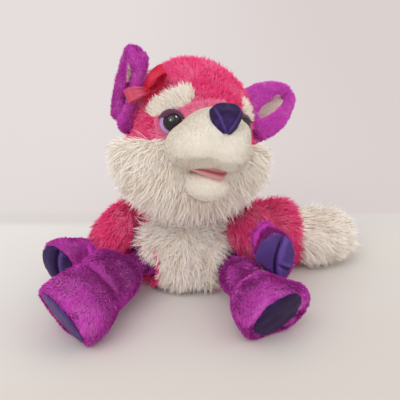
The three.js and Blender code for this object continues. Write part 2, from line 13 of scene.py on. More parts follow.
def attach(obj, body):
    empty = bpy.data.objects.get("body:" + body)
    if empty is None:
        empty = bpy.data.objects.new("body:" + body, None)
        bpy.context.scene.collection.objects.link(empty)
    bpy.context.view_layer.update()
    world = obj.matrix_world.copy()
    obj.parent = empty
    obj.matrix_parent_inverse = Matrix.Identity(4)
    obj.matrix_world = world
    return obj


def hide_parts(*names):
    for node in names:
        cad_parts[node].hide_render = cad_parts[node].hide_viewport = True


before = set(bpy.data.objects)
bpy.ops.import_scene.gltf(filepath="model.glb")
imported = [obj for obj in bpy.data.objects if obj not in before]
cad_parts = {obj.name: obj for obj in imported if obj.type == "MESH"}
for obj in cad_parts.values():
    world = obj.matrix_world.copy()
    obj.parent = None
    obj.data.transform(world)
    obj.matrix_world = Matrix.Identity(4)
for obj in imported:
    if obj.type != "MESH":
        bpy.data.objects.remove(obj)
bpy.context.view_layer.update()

bl_info = {
    "name": "Seated plush fox",
    "version": (1, 0, 0),
    "blender": (4, 5, 0),
    "location": "3D View > Sidebar > Plush fox",
    "description": "Sews, stuffs and combs a seated plush fox over its packed model",
    "category": "Add Mesh",
}

MM = 0.001
SIDES = {"left": 1, "right": -1}
NOISE_SEED = 7
CLOTH_WALL = 1.6
FLOOR_GAP = 0.6
PAD_GAP = 0.4

# An eye in millimetres: the radius and depth of its dome, lens and lid, the lens's place in it, and its ribbed shank
DOME = (11, 8)
LENS = (8.6, 5.9)
LENS_PLACE = (1.5, -3.9, 0.3)
LENS_CUT = 0.4
LID_OUTSIDE, LID_INSIDE, LID_LINE = (12.5, 9.6), (11.5, 8.5), 3.1
STEM, RIB, RIB_THICK, RIB_PITCH, RIB_COUNT = 2.5, 3.2, 1.2, 3.2, 4
FIRST_RIB, SHANK_END = 3.1, 15.1

# The camera, and where the floor's tones and painted shade change, in metres
AIM = (0.0155, 0, 0.082)
CAMERA_AWAY = 0.95
FLOOR_NEAR, FLOOR_SIDE, WALL_FOOT, WALL = (-0.35, 0.0), (-0.15, 0.3), (0.12, 0.137), (0.155, 0.168)


# Sizes and colours

def linear(red, green, blue):
    """A colour of a screen, 0 to 255, as the light that it stands for."""
    return tuple((c / 255 / 12.92) if c < 10 else ((c / 255 + 0.055) / 1.055) ** 2.4 for c in (red, green, blue))


def colour(name, description, *screen):
    return FloatVectorProperty(
        name=name, description=description, default=linear(*screen), subtype="COLOR", size=3, min=0, max=1
    )


def distance(name, description, default):
    return FloatProperty(name=name, description=description, default=default, unit="LENGTH", precision=4)


class FoxColours(PropertyGroup):
    """The colours of the fox's cloths and plastics."""
    # The root colours are a little darker than the full ones: painted shade deep in the pile, which also mottles the
    # ground cloth under the pile
    pink_deep: colour("Pink root", "Pink coat near the cloth", 240, 58, 130)
    pink_full: colour("Pink", "Pink coat", 252, 82, 146)
    pink_pale: colour("Pink tip", "Frosted tips of the pink coat", 252, 166, 198)
    purple_deep: colour("Purple root", "Purple pile near the cloth", 208, 64, 190)
    purple_full: colour("Purple", "Purple pile", 222, 84, 204)
    purple_pale: colour("Purple tip", "Brushed tips of the purple pile", 232, 130, 218)
    cream_deep: colour("Cream root", "Long cream fur near the cloth", 254, 243, 228)
    cream_full: colour("Cream", "Long cream fur", 255, 247, 236)
    cream_pale: colour("Cream tip", "Tips of the cream fur", 255, 252, 247)
    fleece: colour("Fleece", "Short fleece of the muzzle", 246, 240, 230)
    # The ear lining's tone is a pale plush darkened toward beige as painted shade inside the ear
    lining: colour("Lining", "Short plush inside the ears", 226, 206, 198)
    salmon: colour("Salmon", "Short plush round the eyes", 255, 142, 184)
    satin: colour("Violet satin", "Nose and pads", 40, 22, 66)
    # The satin highlight colour is a painted highlight on the lit folds and crushed spots of the satin
    satin_highlight: colour("Satin highlight", "Lit folds of the satin", 104, 76, 156)
    lip: colour("Lips", "Felt of the mouth", 232, 172, 172)
    ribbon: colour("Ribbon", "Satin ribbon of the bow", 196, 22, 56)
    sheer: colour("Sheer ribbon", "Sheer ribbon of the bow", 204, 44, 92)


class FoxPile(PropertyGroup):
    """How long the pile of each cloth is."""
    coat: distance("Pink coat", "Length of the pink pile", 0.013)
    ruff: distance("Cheek fur", "Length of the cheeks' fur", 0.023)
    bib: distance("Chest fur", "Length of the chest's fur", 0.022)
    brush: distance("Tail fur", "Length of the tail's fur", 0.024)
    velvet: distance("Purple pile", "Length of the purple pile", 0.0048)
    fleece: distance("Fleece", "Length of the muzzle's fleece", 0.0018)
    mask: distance("Mask", "Length of the plush round the eyes", 0.0045)
    brow: distance("Brows", "Length of the brows' plush", 0.010)
    ear: distance("Ears", "Length of the ears' purple plush", 0.0042)
    lining: distance("Ear linings", "Length of the plush in the ears", 0.0026)
    neck: distance("Neck", "Length of the neck's plush", 0.010)
    width: distance("Strand", "Width of a lock at its root", 0.0010)
    seed: IntProperty(name="Seed", description="Where the locks stand", default=7)


# Each cloth: its name, the pile's deep, full and pale colours, the ground's full colour, frost, and scale of patches
CLOTHS = {
    "pink_plush": ("Pink", "pink_deep", "pink_full", "pink_pale", "pink_full", 0.75, 50.0),
    "purple_plush": ("Purple", "purple_deep", "purple_full", "purple_pale", "purple_full", 0.75, 60.0),
    "white_plush": ("Cream", "cream_deep", "cream_full", "cream_pale", "cream_full", 1.0, 60.0),
    "fleece": ("Fleece", "fleece", "fleece", "cream_pale", "cream_full", 0.4, 120.0),
    "ear_lining": ("Lining", "lining", "lining", "cream_pale", "cream_deep", 0.3, 120.0),
    "salmon_plush": ("Salmon", "salmon", "salmon", "pink_pale", "pink_full", 0.7, 160.0),
}

# Each stuffed piece: its slot, its fill, the length that its pile goes by and its share of it, the locks to a square
# millimetre, the share of a strand's width, lift, droop, stray, gather, millimetres of a tuft, and faces of a lock
PADDED = {
    "crown": ("pink_plush", 0.75, "coat", 0.7, 1.4, 1.25, 0.5, 0.1, 0.6, 2.2, 6, 2),
    "mask": ("salmon_plush", 0.75, "mask", 1.0, 1.8, 1.0, 0.7, 0.0, 0.25, 0.2, 4, 2),
    "brow": ("white_plush", 0.75, "brow", 1.0, 1.8, 1.0, 0.55, 0.0, 0.3, 0.6, 5, 3),
    "cheek": ("white_plush", 0.75, "ruff", 1.0, 1.9, 1.3, 0.38, 0.4, 0.4, 1.3, 9, 3),
    "muzzle": ("fleece", 0.75, "fleece", 1.0, 2.6, 0.7, 0.6, 0.0, 0.4, 0.3, 3, 1),
    "chin": ("fleece", 0.75, "fleece", 1.0, 2.6, 0.7, 0.6, 0.0, 0.4, 0.3, 3, 1),
    "ear": ("purple_plush", 0.5, "ear", 1.0, 2.1, 1.1, 0.55, 0.05, 0.5, 0.8, 4, 2),
    "ear_lining": ("fleece", 0.3, "lining", 1.0, 2.2, 0.8, 0.6, 0.0, 0.35, 0.3, 3, 1),
    "coat": ("pink_plush", 0.7, "coat", 1.0, 0.9, 1.25, 0.5, 0.35, 0.4, 1.6, 7, 2),
    "bib": ("white_plush", 0.7, "bib", 1.0, 1.9, 1.3, 0.4, 0.25, 0.5, 1.6, 9, 3),
    "neck": ("pink_plush", 0.8, "neck", 1.0, 0.5, 1.0, 0.45, 0.4, 0.4, 0.8, 8, 2),
    "upper_arm": ("pink_plush", 0.7, "coat", 0.9, 1.3, 1.2, 0.46, 0.3, 0.4, 1.6, 7, 2),
    "paw": ("purple_plush", 0.7, "velvet", 1.0, 2.1, 1.2, 0.5, 0.05, 0.22, 0.4, 5, 2),
    "leg": ("purple_plush", 0.7, "velvet", 1.0, 1.65, 1.4, 0.5, 0.05, 0.22, 0.4, 5, 2),
    "tail_root": ("pink_plush", 0.6, "brush", 0.6, 1.1, 1.2, 0.5, 0.2, 0.4, 1.4, 7, 2),
    "tail_tip": ("white_plush", 0.6, "brush", 1.0, 1.9, 1.3, 0.34, 0.2, 0.36, 1.2, 10, 3),
}

# Each piece of the head: its nodes, the millimetres that it is drawn in, and how far its pile lies out, back and down
HEAD_PIECES = {
    "crown": (["crown_cover", "head_fill"], 4.5, (0.8, 0.9, 0.2)),
    "mask": (["face_mask"], 1.4, (1, 0.4, 0)),
    "left_brow": (["left_brow"], 2.6, (1, 0.3, 0)),
    "right_brow": (["right_brow"], 2.6, (1, 0.3, 0)),
    "left_cheek": (["left_cheek"], 7.0, (1, 0.2, 0.55)),
    "right_cheek": (["right_cheek"], 7.0, (1, 0.2, 0.55)),
    "muzzle": (["muzzle"], 0.0, (1, 0, 0.5)),
    "chin": (["chin"], 0.2, (0, 0, 1)),
}


# Frames of the fox, as its pattern lays them out: a frame looks along its own -Y axis

def turned(yaw=0.0, pitch=0.0, roll=0.0):
    about = ((yaw, "Z"), (-pitch, "X"), (roll, "Y"))
    turns = [Matrix.Rotation(math.radians(angle), 4, axis) for angle, axis in about]
    return turns[0] @ turns[1] @ turns[2]


def frame_at(parent, place, **angles):
    return parent @ Matrix.Translation(Vector(place) * MM) @ turned(**angles)


def way(matrix, *along):
    """A direction of a frame, as the world has it."""
    return np.array(matrix.to_3x3() @ Vector(along))


WORLD = Matrix.Identity(4)
DOWN = np.array([0, 0, -1.0])
LOOK_DOWN = math.radians(22)
UP_SEEN = (0, math.sin(LOOK_DOWN), math.cos(LOOK_DOWN))
UPPER_ARM_REACH, PAW_REACH = 46, 42
LEG_REACH = {"left": 118, "right": 132}
EYE_ASIDE, EYE_LOW = 33, 6
SKULL = (61, 59, 59)
HEAD = frame_at(WORLD, (6, -20, 172), yaw=20, pitch=18, roll=9)
ARM = {
    "left": frame_at(WORLD, (52, -10, 66), yaw=29, pitch=-6),
    "right": frame_at(WORLD, (-52, -10, 66), yaw=-60, pitch=-36),
}
PAW = {
    "left": frame_at(ARM["left"], (0, -UPPER_ARM_REACH, 0), yaw=-4, pitch=2),
    "right": frame_at(ARM["right"], (0, -UPPER_ARM_REACH, 0), yaw=-8, pitch=24),
}
PALM = {
    "left": frame_at(PAW["left"], (0, -PAW_REACH, 0), yaw=-12, pitch=4),
    "right": frame_at(PAW["right"], (0, -PAW_REACH, 0), yaw=34),
}
LEG = {
    "left": frame_at(WORLD, (40, -30, 29.5), yaw=22),
    "right": frame_at(WORLD, (-40, -30, 29.5), yaw=-29),
}
SOLE = {
    "left": frame_at(LEG["left"], (0, -LEG_REACH["left"], 0), yaw=10, pitch=-28),
    "right": frame_at(LEG["right"], (0, -LEG_REACH["right"], 0), yaw=-26, pitch=-28),
}
TAIL = frame_at(WORLD, (42, 24, 35), yaw=96)
EAR = {
    "left": frame_at(HEAD, (58, 2, 2), yaw=110, pitch=30, roll=-73),
    "right": frame_at(HEAD, (-54.5, 14, -5), yaw=-20, pitch=69, roll=-109),
}
EYE_REACH = SKULL[1] * math.sqrt(1 - (EYE_ASIDE / SKULL[0]) ** 2 - (EYE_LOW / SKULL[2]) ** 2)
EYE = {
    side: frame_at(HEAD, (mirror * EYE_ASIDE, 1.2 - EYE_REACH, -EYE_LOW), yaw=mirror * 29)
    for side, mirror in SIDES.items()
}
BOW = frame_at(HEAD, (-52, -29.5, 21.4))


# Meshes

def shown(name, mesh):
    """A new object of the scene with that mesh, at the origin."""
    obj = bpy.data.objects.new(name, mesh)
    bpy.context.scene.collection.objects.link(obj)
    return obj


def settled(obj):
    """The object's mesh as its modifiers leave it."""
    bpy.context.view_layer.update()
    graph = bpy.context.evaluated_depsgraph_get()
    seen_by = obj.evaluated_get(graph)
    return bpy.data.meshes.new_from_object(seen_by, preserve_all_data_layers=True, depsgraph=graph)


def finished(name, obj):
    """A plain piece in place of an object with modifiers."""
    mesh = settled(obj)
    bpy.data.objects.remove(obj)
    mesh.name = name
    for polygon in mesh.polygons:
        polygon.use_smooth = True
    return shown(name, mesh)


def poured(body, name):
    """The mesh of a bmesh that isn't needed any more."""
    mesh = bpy.data.meshes.new(name)
    body.to_mesh(mesh)
    body.free()
    return mesh


def unit(vectors):
    return vectors / np.maximum(np.linalg.norm(vectors, axis=1, keepdims=True), 1e-9)


def ease(values, low, high):
    t = np.clip((values - low) / (high - low), 0, 1)
    return t * t * (3 - 2 * t)


def bell(values, centre, width):
    return np.exp(-(((values - centre) / width) ** 2))


class Skin:
    """A skin as arrays: its places, its quads, its edges, and the values that its points carry."""

    def __init__(self, places, faces):
        self.places = np.asarray(places, float)
        self.faces = np.asarray(faces, int)
        ends = np.sort(np.concatenate([self.faces[:, [i, (i + 1) % 4]] for i in range(4)]), axis=1)
        self.edges = np.unique(ends, axis=0)
        self.values = {}

    def normals(self):
        a, b, c, d = (self.places[self.faces[:, i]] for i in range(4))
        across = np.cross(c - a, d - b)
        total = np.zeros_like(self.places)
        for i in range(4):
            np.add.at(total, self.faces[:, i], across)
        return unit(total)

    def local(self, matrix):
        """The places as seen in a frame, in millimetres."""
        inverse = np.array(matrix.inverted())
        return (self.places @ inverse[:3, :3].T + inverse[:3, 3]) / MM

    def blurred(self, values, rounds):
        values = np.array(values, float)
        count = np.zeros(len(self.places))
        np.add.at(count, self.edges.ravel(), 1)
        for _ in range(rounds):
            total = np.zeros_like(values)
            np.add.at(total, self.edges[:, 0], values[self.edges[:, 1]])
            np.add.at(total, self.edges[:, 1], values[self.edges[:, 0]])
            values = 0.5 * values + 0.5 * total / np.maximum(count, 1)
        return values

    def soft(self, of_faces, rounds):
        """Values of faces, brought to the points and blurred."""
        total, count = np.zeros((2, len(self.places)))
        for i in range(4):
            np.add.at(total, self.faces[:, i], of_faces)
            np.add.at(count, self.faces[:, i], 1)
        return self.blurred(total / np.maximum(count, 1), rounds)

    def move(self, shift):
        """Each point moves by its own shift, in millimetres."""
        self.places = self.places + shift * MM

    def push(self, amounts):
        """Each point moves along its normal, in millimetres."""
        self.move(self.normals() * np.broadcast_to(amounts, len(self.places))[:, None])

    def rest_on(self, height):
        self.places[:, 2] = np.maximum(self.places[:, 2], height * MM)

    def thin_below(self):
        """The pile is thin where the skin rests on the floor."""
        self.values["thick"] = 0.15 + 0.85 * ease(self.places[:, 2], 0.001, 0.004)

    def part(self, keep):
        """The faces that are kept, as a skin of its own."""
        faces = self.faces[keep]
        used = np.unique(faces)
        place = np.full(len(self.places), -1)
        place[used] = np.arange(len(used))
        piece = Skin(self.places[used], place[faces])
        piece.values = {name: values[used] for name, values in self.values.items()}
        return piece

    def mesh(self, name, bare=False):
        mesh = bpy.data.meshes.new(name)
        mesh.from_pydata(self.places.tolist(), [], self.faces.tolist())
        for key, values in ({} if bare else self.values).items():
            kind, slot = ("FLOAT_VECTOR", "vector") if values.ndim > 1 else ("FLOAT", "value")
            mesh.attributes.new(key, kind, "POINT").data.foreach_set(slot, values.astype(np.float32).ravel())
        mesh.update()
        return mesh


def skin_over(nodes, voxel, relax):
    """One smooth closed skin round some of the model's nodes. The largest shell is kept."""
    gathered = bmesh.new()
    for node in nodes:
        gathered.from_mesh(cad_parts[node].data)
    bmesh.ops.remove_doubles(gathered, verts=gathered.verts, dist=1e-6)
    obj = shown("skin", poured(gathered, "skin"))
    remesh = obj.modifiers.new("Remesh", "REMESH")
    remesh.voxel_size = voxel * MM
    relaxing = obj.modifiers.new("Relax", "SMOOTH")
    relaxing.iterations = relax
    mesh = settled(obj)
    bpy.data.objects.remove(obj)
    faces = [tuple(polygon.vertices) for polygon in mesh.polygons]
    faces = [face if len(face) == 4 else (*face, face[-1]) for face in faces]
    places = np.zeros(len(mesh.vertices) * 3)
    mesh.vertices.foreach_get("co", places)
    skin = Skin(places.reshape(-1, 3), faces)
    shell = np.arange(len(skin.places))
    while True:
        lowest = shell.copy()
        np.minimum.at(lowest, skin.edges[:, 0], shell[skin.edges[:, 1]])
        np.minimum.at(lowest, skin.edges[:, 1], shell[skin.edges[:, 0]])
        lowest = lowest[lowest]
        if (lowest == shell).all():
            break
        shell = lowest
    names, sizes = np.unique(shell, return_counts=True)
    return skin.part(shell[skin.faces[:, 0]] == names[sizes.argmax()])


def gaps(places, nodes):
    """How far each place lies from each of the nodes, in millimetres, a row to a node."""
    rows = []
    for node in nodes:
        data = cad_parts[node].data
        tree = BVHTree.FromPolygons([v.co for v in data.vertices], [p.vertices[:] for p in data.polygons])
        rows.append([tree.find_nearest(Vector(p))[3] / MM for p in places])
    return np.array(rows)


def nearest_node(skin, nodes):
    """For each face of a skin, which of the nodes lies nearest."""
    return gaps(skin.places[skin.faces].mean(axis=1), nodes).argmin(axis=0)


def distance_to(skin, nodes):
    """How far each point of a skin lies from the nearest of some nodes, in millimetres."""
    return gaps(skin.places, nodes).min(axis=0)


def ripples(skin, size, seed):
    """Smooth noise at each point, three values from -1 to 1; size is in millimetres."""
    noise.seed_set(NOISE_SEED)
    shift = Vector((seed * 3.7, seed * 1.3, seed * 2.9))
    return np.array([noise.noise_vector(Vector(p) / (size * MM) + shift) for p in skin.places])


def brush(skin, pull, stray, size, seed):
    """The way the pile lies: a pull at each point, strayed, and laid along the cloth."""
    normals = skin.normals()
    lie = unit(np.broadcast_to(np.asarray(pull, float), skin.places.shape).copy())
    lie = lie + stray * ripples(skin, size, seed)
    lie -= normals * (lie * normals).sum(axis=1, keepdims=True)
    skin.values["lie"] = unit(lie)


def away_from(skin, matrix, place):
    return unit(skin.places - np.array(matrix @ (Vector(place) * MM)))


def seen(skin):
    """Where the points of a skin stand as the fox is looked at, in millimetres aside and up."""
    return skin.places[:, 0] / MM, skin.places @ np.array(UP_SEEN) / MM


def drawn(skin, weight, aside, up):
    """Draw a skin aside and up, in millimetres as the fox is looked at."""
    skin.move(np.outer(weight * aside, [1, 0, 0]) + np.outer(weight * up, UP_SEEN))


def panel(name, skin, wall=CLOTH_WALL):
    """A cloth panel of the skin, closed round its edge by its own thickness. A whole skin has no wall."""
    obj = shown(name, skin.mesh(name, bare=True))
    if wall:
        solid = obj.modifiers.new("Wall", "SOLIDIFY")
        solid.thickness = wall * MM
    return finished(name, obj)


def lathe(name, matrix, outline, sides=48):
    """A body turned about a frame's Y axis, from (radius, y) pairs in millimetres that end on the axis."""
    body = bmesh.new()
    rows = []
    for radius, along in outline:
        row = []
        count = sides if radius > 1e-6 else 1
        for i in range(count):
            angle = 2 * math.pi * i / count
            spot = Vector((radius * math.cos(angle) * MM, along * MM, radius * math.sin(angle) * MM))
            row.append(body.verts.new(matrix @ spot))
        rows.append(row)
    for low, high in zip(rows, rows[1:]):
        for i in range(sides):
            j = (i + 1) % sides
            corners = (low[i % len(low)], low[j % len(low)], high[j % len(high)], high[i % len(high)])
            corners = list(dict.fromkeys(corners))
            if len(corners) > 2:
                body.faces.new(corners)
    bmesh.ops.recalc_face_normals(body, faces=body.faces)
    return shown(name, poured(body, name))


def bowl(radius, depth, steps, turn=math.pi / 2):
    """The outline of an egg from its front, as (radius, y) pairs in millimetres."""
    arc = [turn * i / steps for i in range(steps + 1)]
    return [(radius * math.sin(angle), -depth * math.cos(angle)) for angle in arc]


def carved(obj, cutters):
    """An object cut by others, which are used up."""
    for cutter, operation in cutters:
        cut = obj.modifiers.new("Cut", "BOOLEAN")
        cut.operation, cut.object = operation, cutter
    mesh = settled(obj)
    obj.modifiers.clear()
    obj.data = mesh
    for cutter, _ in cutters:
        bpy.data.objects.remove(cutter)


# Node trees

class Tree:
    """A node tree under construction."""

    def __init__(self, tree):
        self.tree = tree

    def feed(self, node, key, value):
        if isinstance(value, bpy.types.NodeSocket):
            self.tree.links.new(value, node.inputs[key])
        else:
            node.inputs[key].default_value = value

    def node(self, kind, inputs=None, **settings):
        made = self.tree.nodes.new(kind)
        for key, value in settings.items():
            setattr(made, key, value)
        for key, value in (inputs or {}).items():
            self.feed(made, key, value)
        return made

    def math(self, operation, *values, clamp=False):
        return self.node("ShaderNodeMath", dict(enumerate(values)), operation=operation, use_clamp=clamp).outputs[0]

    def add(self, first, second, clamp=False):
        return self.math("ADD", first, second, clamp=clamp)

    def minus(self, first, second):
        return self.math("SUBTRACT", first, second)

    def times(self, first, second, clamp=False):
        return self.math("MULTIPLY", first, second, clamp=clamp)

    def vector(self, operation, *values):
        made = self.node("ShaderNodeVectorMath", dict(enumerate(values)), operation=operation)
        return made.outputs["Value" if operation == "DOT_PRODUCT" else "Vector"]

    def scaled(self, vector, by):
        return self.node("ShaderNodeVectorMath", {0: vector, 3: by}, operation="SCALE").outputs["Vector"]

    def sum(self, first, *others):
        for other in others:
            first = self.vector("ADD", first, other)
        return first

    def split(self, vector):
        return self.node("ShaderNodeSeparateXYZ", {0: vector}).outputs

    def joined(self, **parts):
        return self.node("ShaderNodeCombineXYZ", {key.upper(): part for key, part in parts.items()}).outputs[0]

    def mix(self, share, first, second):
        made = self.tree.nodes.new("ShaderNodeMix")
        made.data_type = "RGBA"
        self.feed(made, 0, share)
        for key, value in ((6, first), (7, second)):
            self.feed(made, key, value if isinstance(value, bpy.types.NodeSocket) else (*value[:3], 1))
        return made.outputs[2]

    def object_place(self):
        return self.node("ShaderNodeTexCoord").outputs["Object"]

    def noise(self, place, scale, detail, **more):
        inputs = {"Vector": place, "Scale": scale, "Detail": detail}
        inputs.update({key.title(): value for key, value in more.items()})
        return self.node("ShaderNodeTexNoise", inputs).outputs["Fac"]

    def cells(self, place, scale):
        return self.node("ShaderNodeTexVoronoi", {"Vector": place, "Scale": scale}).outputs["Distance"]

    def carried(self, name, output="Fac"):
        return self.node("ShaderNodeAttribute", attribute_name=name).outputs[output]

    def ramp(self, value, low, high):
        return self.node("ShaderNodeMapRange", {"Value": value, "From Min": low, "From Max": high}).outputs[0]


PILE_SOCKETS = {
    "Float": ("Density", "Length", "Scatter", "Width", "Lift", "Droop", "Stray", "Gather", "Tuft", "Columns"),
    "Int": ("Steps", "Seed"),
    "Material": ("Cloth",),
}


def pile_tree():
    """Locks of pile on a cloth: each stands on the cloth, bends the way it lies and leans into its tuft."""
    tree = bpy.data.node_groups.get("Pile")
    if tree:
        return tree
    tree = bpy.data.node_groups.new("Pile", "GeometryNodeTree")
    tree.interface.new_socket("Geometry", in_out="INPUT", socket_type="NodeSocketGeometry")
    for kind, names in PILE_SOCKETS.items():
        for name in names:
            tree.interface.new_socket(name, in_out="INPUT", socket_type=f"NodeSocket{kind}")
    tree.interface.new_socket("Geometry", in_out="OUTPUT", socket_type="NodeSocketGeometry")
    build = Tree(tree)
    given = build.node("NodeGroupInput").outputs

    def carried(name, kind="FLOAT"):
        return build.node("GeometryNodeInputNamedAttribute", {"Name": name}, data_type=kind).outputs["Attribute"]

    def kept(geometry, name, value, kind="FLOAT", domain="POINT"):
        inputs = {"Geometry": geometry, "Name": name, "Value": value}
        return build.node("GeometryNodeStoreNamedAttribute", inputs, data_type=kind, domain=domain).outputs[0]

    def chance(shift):
        inputs = {2: 0, 3: 1, 8: build.add(given["Seed"], shift)}
        return build.node("FunctionNodeRandomValue", inputs).outputs[1]

    def any_way(shift):
        inputs = {0: (-1, -1, -1), 1: (1, 1, 1), 8: build.add(given["Seed"], shift)}
        return build.node("FunctionNodeRandomValue", inputs, data_type="FLOAT_VECTOR").outputs[0]

    # Where each lock stands, how it rises and falls, and the tuft that it leans into
    scattered = build.node("GeometryNodeDistributePointsOnFaces", {
        "Mesh": given["Geometry"], "Density": build.times(given["Density"], carried("thick")), "Seed": given["Seed"],
    })
    normal = scattered.outputs["Normal"]
    place = build.node("GeometryNodeInputPosition").outputs[0]
    tufts = build.node("ShaderNodeTexVoronoi", {
        "Vector": place, "Scale": build.math("DIVIDE", 1.0, given["Tuft"]),
    }).outputs
    inward = build.vector("SUBTRACT", tufts["Position"], place)
    height = build.vector("DOT_PRODUCT", inward, normal)
    inward = build.vector("SUBTRACT", inward, build.scaled(normal, height))
    inward = build.scaled(inward, build.math("DIVIDE", given["Gather"], given["Tuft"]))
    lie = carried("lie", "FLOAT_VECTOR")
    rise = build.vector("NORMALIZE", build.sum(
        build.scaled(normal, given["Lift"]),
        build.scaled(lie, build.minus(1.0, given["Lift"])),
        build.scaled(any_way(1), given["Stray"]),
    ))
    fall = build.vector("NORMALIZE", build.sum(
        lie,
        inward,
        build.joined(z=build.times(given["Droop"], -1.0)),
        build.scaled(normal, build.times(given["Lift"], 0.6)),
        build.scaled(any_way(2), build.times(given["Stray"], 1.4)),
    ))
    aside = build.scaled(any_way(3), 0.55)
    side = build.vector("NORMALIZE", build.vector("CROSS_PRODUCT", rise, build.sum(normal, aside)))
    short = build.minus(1.0, build.times(given["Scatter"], chance(4)))
    span = build.times(build.times(given["Length"], carried("reach")), short)
    points = scattered.outputs["Points"]
    for name, value in (("root", place), ("rise", rise), ("fall", fall), ("side", side)):
        points = kept(points, name, value, "FLOAT_VECTOR")
    tuft, index = build.split(tufts["Color"])[0], build.node("GeometryNodeInputIndex").outputs[0]
    for name, value in (("span", span), ("tint", chance(5)), ("tuft", tuft), ("strand", index)):
        points = kept(points, name, value)

    # A flat blade at each point, bent along its length and narrowed to its tip
    blade = build.node("GeometryNodeMeshGrid", {0: 1.0, 1: 1.0, 2: 2, 3: build.add(given["Steps"], 1)})
    spot = build.split(place)
    lock = kept(blade.outputs["Mesh"], "cell", blade.outputs["UV Map"], "FLOAT2", "CORNER")
    lock = kept(lock, "along", build.add(spot[1], 0.5))
    lock = kept(lock, "across", spot[0])
    stood = build.node("GeometryNodeInstanceOnPoints", {"Points": points, "Instance": lock}).outputs[0]
    real = build.node("GeometryNodeRealizeInstances", {"Geometry": stood}).outputs[0]
    along = carried("along")
    half_square = build.times(build.times(along, along), 0.5)
    taper = build.minus(1.0, build.times(build.math("POWER", along, 1.6), 0.88))
    bent = carried("root", "FLOAT_VECTOR")
    for name, by in (
        ("rise", build.times(carried("span"), build.minus(along, half_square))),
        ("fall", build.times(carried("span"), half_square)),
        ("side", build.times(build.times(given["Width"], taper), carried("across"))),
    ):
        bent = build.vector("ADD", bent, build.scaled(carried(name, "FLOAT_VECTOR"), by))
    x, y, z = build.split(bent)
    above_floor = build.joined(x=x, y=y, z=build.math("MAXIMUM", z, 0.0002))
    bent = build.node("GeometryNodeSetPosition", {"Geometry": real, "Position": above_floor}).outputs[0]

    # A square of the bake's chart for each lock
    cell = build.split(carried("cell", "FLOAT_VECTOR"))
    number, columns = carried("strand"), given["Columns"]
    column = build.math("FLOORED_MODULO", number, columns)
    row = build.math("FLOOR", build.math("DIVIDE", number, columns))
    corner = []
    for inside, shift in ((cell[0], column), (cell[1], row)):
        held = build.add(build.times(inside, 0.8), 0.1)
        corner.append(build.math("DIVIDE", build.add(held, shift), columns))
    bent = kept(bent, "OFBake", build.joined(x=corner[0], y=corner[1]), "FLOAT2", "CORNER")
    clothed = build.node("GeometryNodeSetMaterial", {"Geometry": bent, "Material": given["Cloth"]}).outputs[0]
    tree.links.new(clothed, build.node("NodeGroupOutput").inputs[0])
    return tree


def comb(name, skin, cloth, look, seed):
    """The pile of a cloth as a piece of its own."""
    length, share, density, width, lift, droop, stray, gather, tuft, steps = look
    pile = bpy.context.scene.fox_pile
    for key in ("thick", "reach"):
        skin.values.setdefault(key, np.ones(len(skin.places)))
    obj = shown(name, skin.mesh(name))
    modifier = obj.modifiers.new("Pile", "NODES")
    modifier.node_group = pile_tree()
    density /= MM ** 2
    locks = sum(polygon.area for polygon in obj.data.polygons) * density
    settings = {
        "Density": density,
        "Length": getattr(pile, length) * share,
        "Scatter": 0.45,
        "Width": width * pile.width,
        "Lift": lift,
        "Droop": droop,
        "Stray": stray,
        "Gather": gather,
        "Tuft": tuft * MM,
        "Steps": steps,
        "Columns": float(math.ceil(math.sqrt(locks) * 1.02) + 1),
        "Seed": pile.seed + seed,
        "Cloth": cloth,
    }
    for item in modifier.node_group.interface.items_tree:
        if item.name in settings:
            modifier[item.identifier] = settings[item.name]
    mesh = settled(obj)
    bpy.data.objects.remove(obj)
    mesh.name = name
    for key in ("rise", "fall", "side", "span", "strand", "across", "cell", "lie", "thick", "reach"):
        if key in mesh.attributes:
            mesh.attributes.remove(mesh.attributes[key])
    mesh.uv_layers["OFBake"].active = True
    return shown(name, mesh)


# Materials

def group_of(name, colours, floats, outputs, make):
    """A shader node group, built once."""
    tree = bpy.data.node_groups.get(name)
    if tree is None:
        tree = bpy.data.node_groups.new(name, "ShaderNodeTree")
        given = [(key, "Color", (0.5, 0.5, 0.5, 1)) for key in colours]
        for key, kind, default in given + [(key, "Float", default) for key, default in floats.items()]:
            socket = tree.interface.new_socket(key, in_out="INPUT", socket_type=f"NodeSocket{kind}")
            socket.default_value = default
        for key in outputs:
            kind = "NodeSocketColor" if key == "Color" else "NodeSocketFloat"
            tree.interface.new_socket(key, in_out="OUTPUT", socket_type=kind)
        build = Tree(tree)
        made = make(build, build.node("NodeGroupInput").outputs)
        build.node("NodeGroupOutput", made)
    return tree


def pile_colour():
    """Colour of a lock: darker at its root as painted shade deep in the pile, full along it, pale at the tips of some
    tufts.
    """
    def make(build, given):
        root = build.carried("root", "Vector")
        along, tint, tuft = (build.carried(key) for key in ("along", "tint", "tuft"))
        patch = build.noise(root, given["Patch Scale"], 3.0, roughness=0.6)
        # Painted shade: a lock is deep at its root and full toward its tip
        base = build.mix(build.math("POWER", along, 0.7), given["Deep"], given["Full"])
        frost = build.add(build.times(build.minus(patch, 0.5), 4.0), build.times(tint, 0.6))
        frost = build.add(frost, build.times(tuft, 0.5))
        frost = build.times(build.add(frost, -0.35), given["Frost"])
        frost = build.times(frost, build.math("POWER", along, 0.8), clamp=True)
        return {"Color": build.mix(frost, base, given["Pale"])}
    return group_of("Pile colour", ("Deep", "Full", "Pale"), {"Frost": 1.0, "Patch Scale": 90.0}, ("Color",), make)


def cloth_ground():
    """Colour and relief of a knitted ground under pile."""
    def make(build, given):
        place = build.object_place()
        patch = build.times(build.minus(build.noise(place, 70.0, 4.0), 0.3), 1.6, clamp=True)
        return {"Color": build.mix(patch, given["Deep"], given["Full"]), "Height": build.cells(place, 900.0)}
    return group_of("Cloth ground", ("Deep", "Full"), {}, ("Color", "Height"), make)


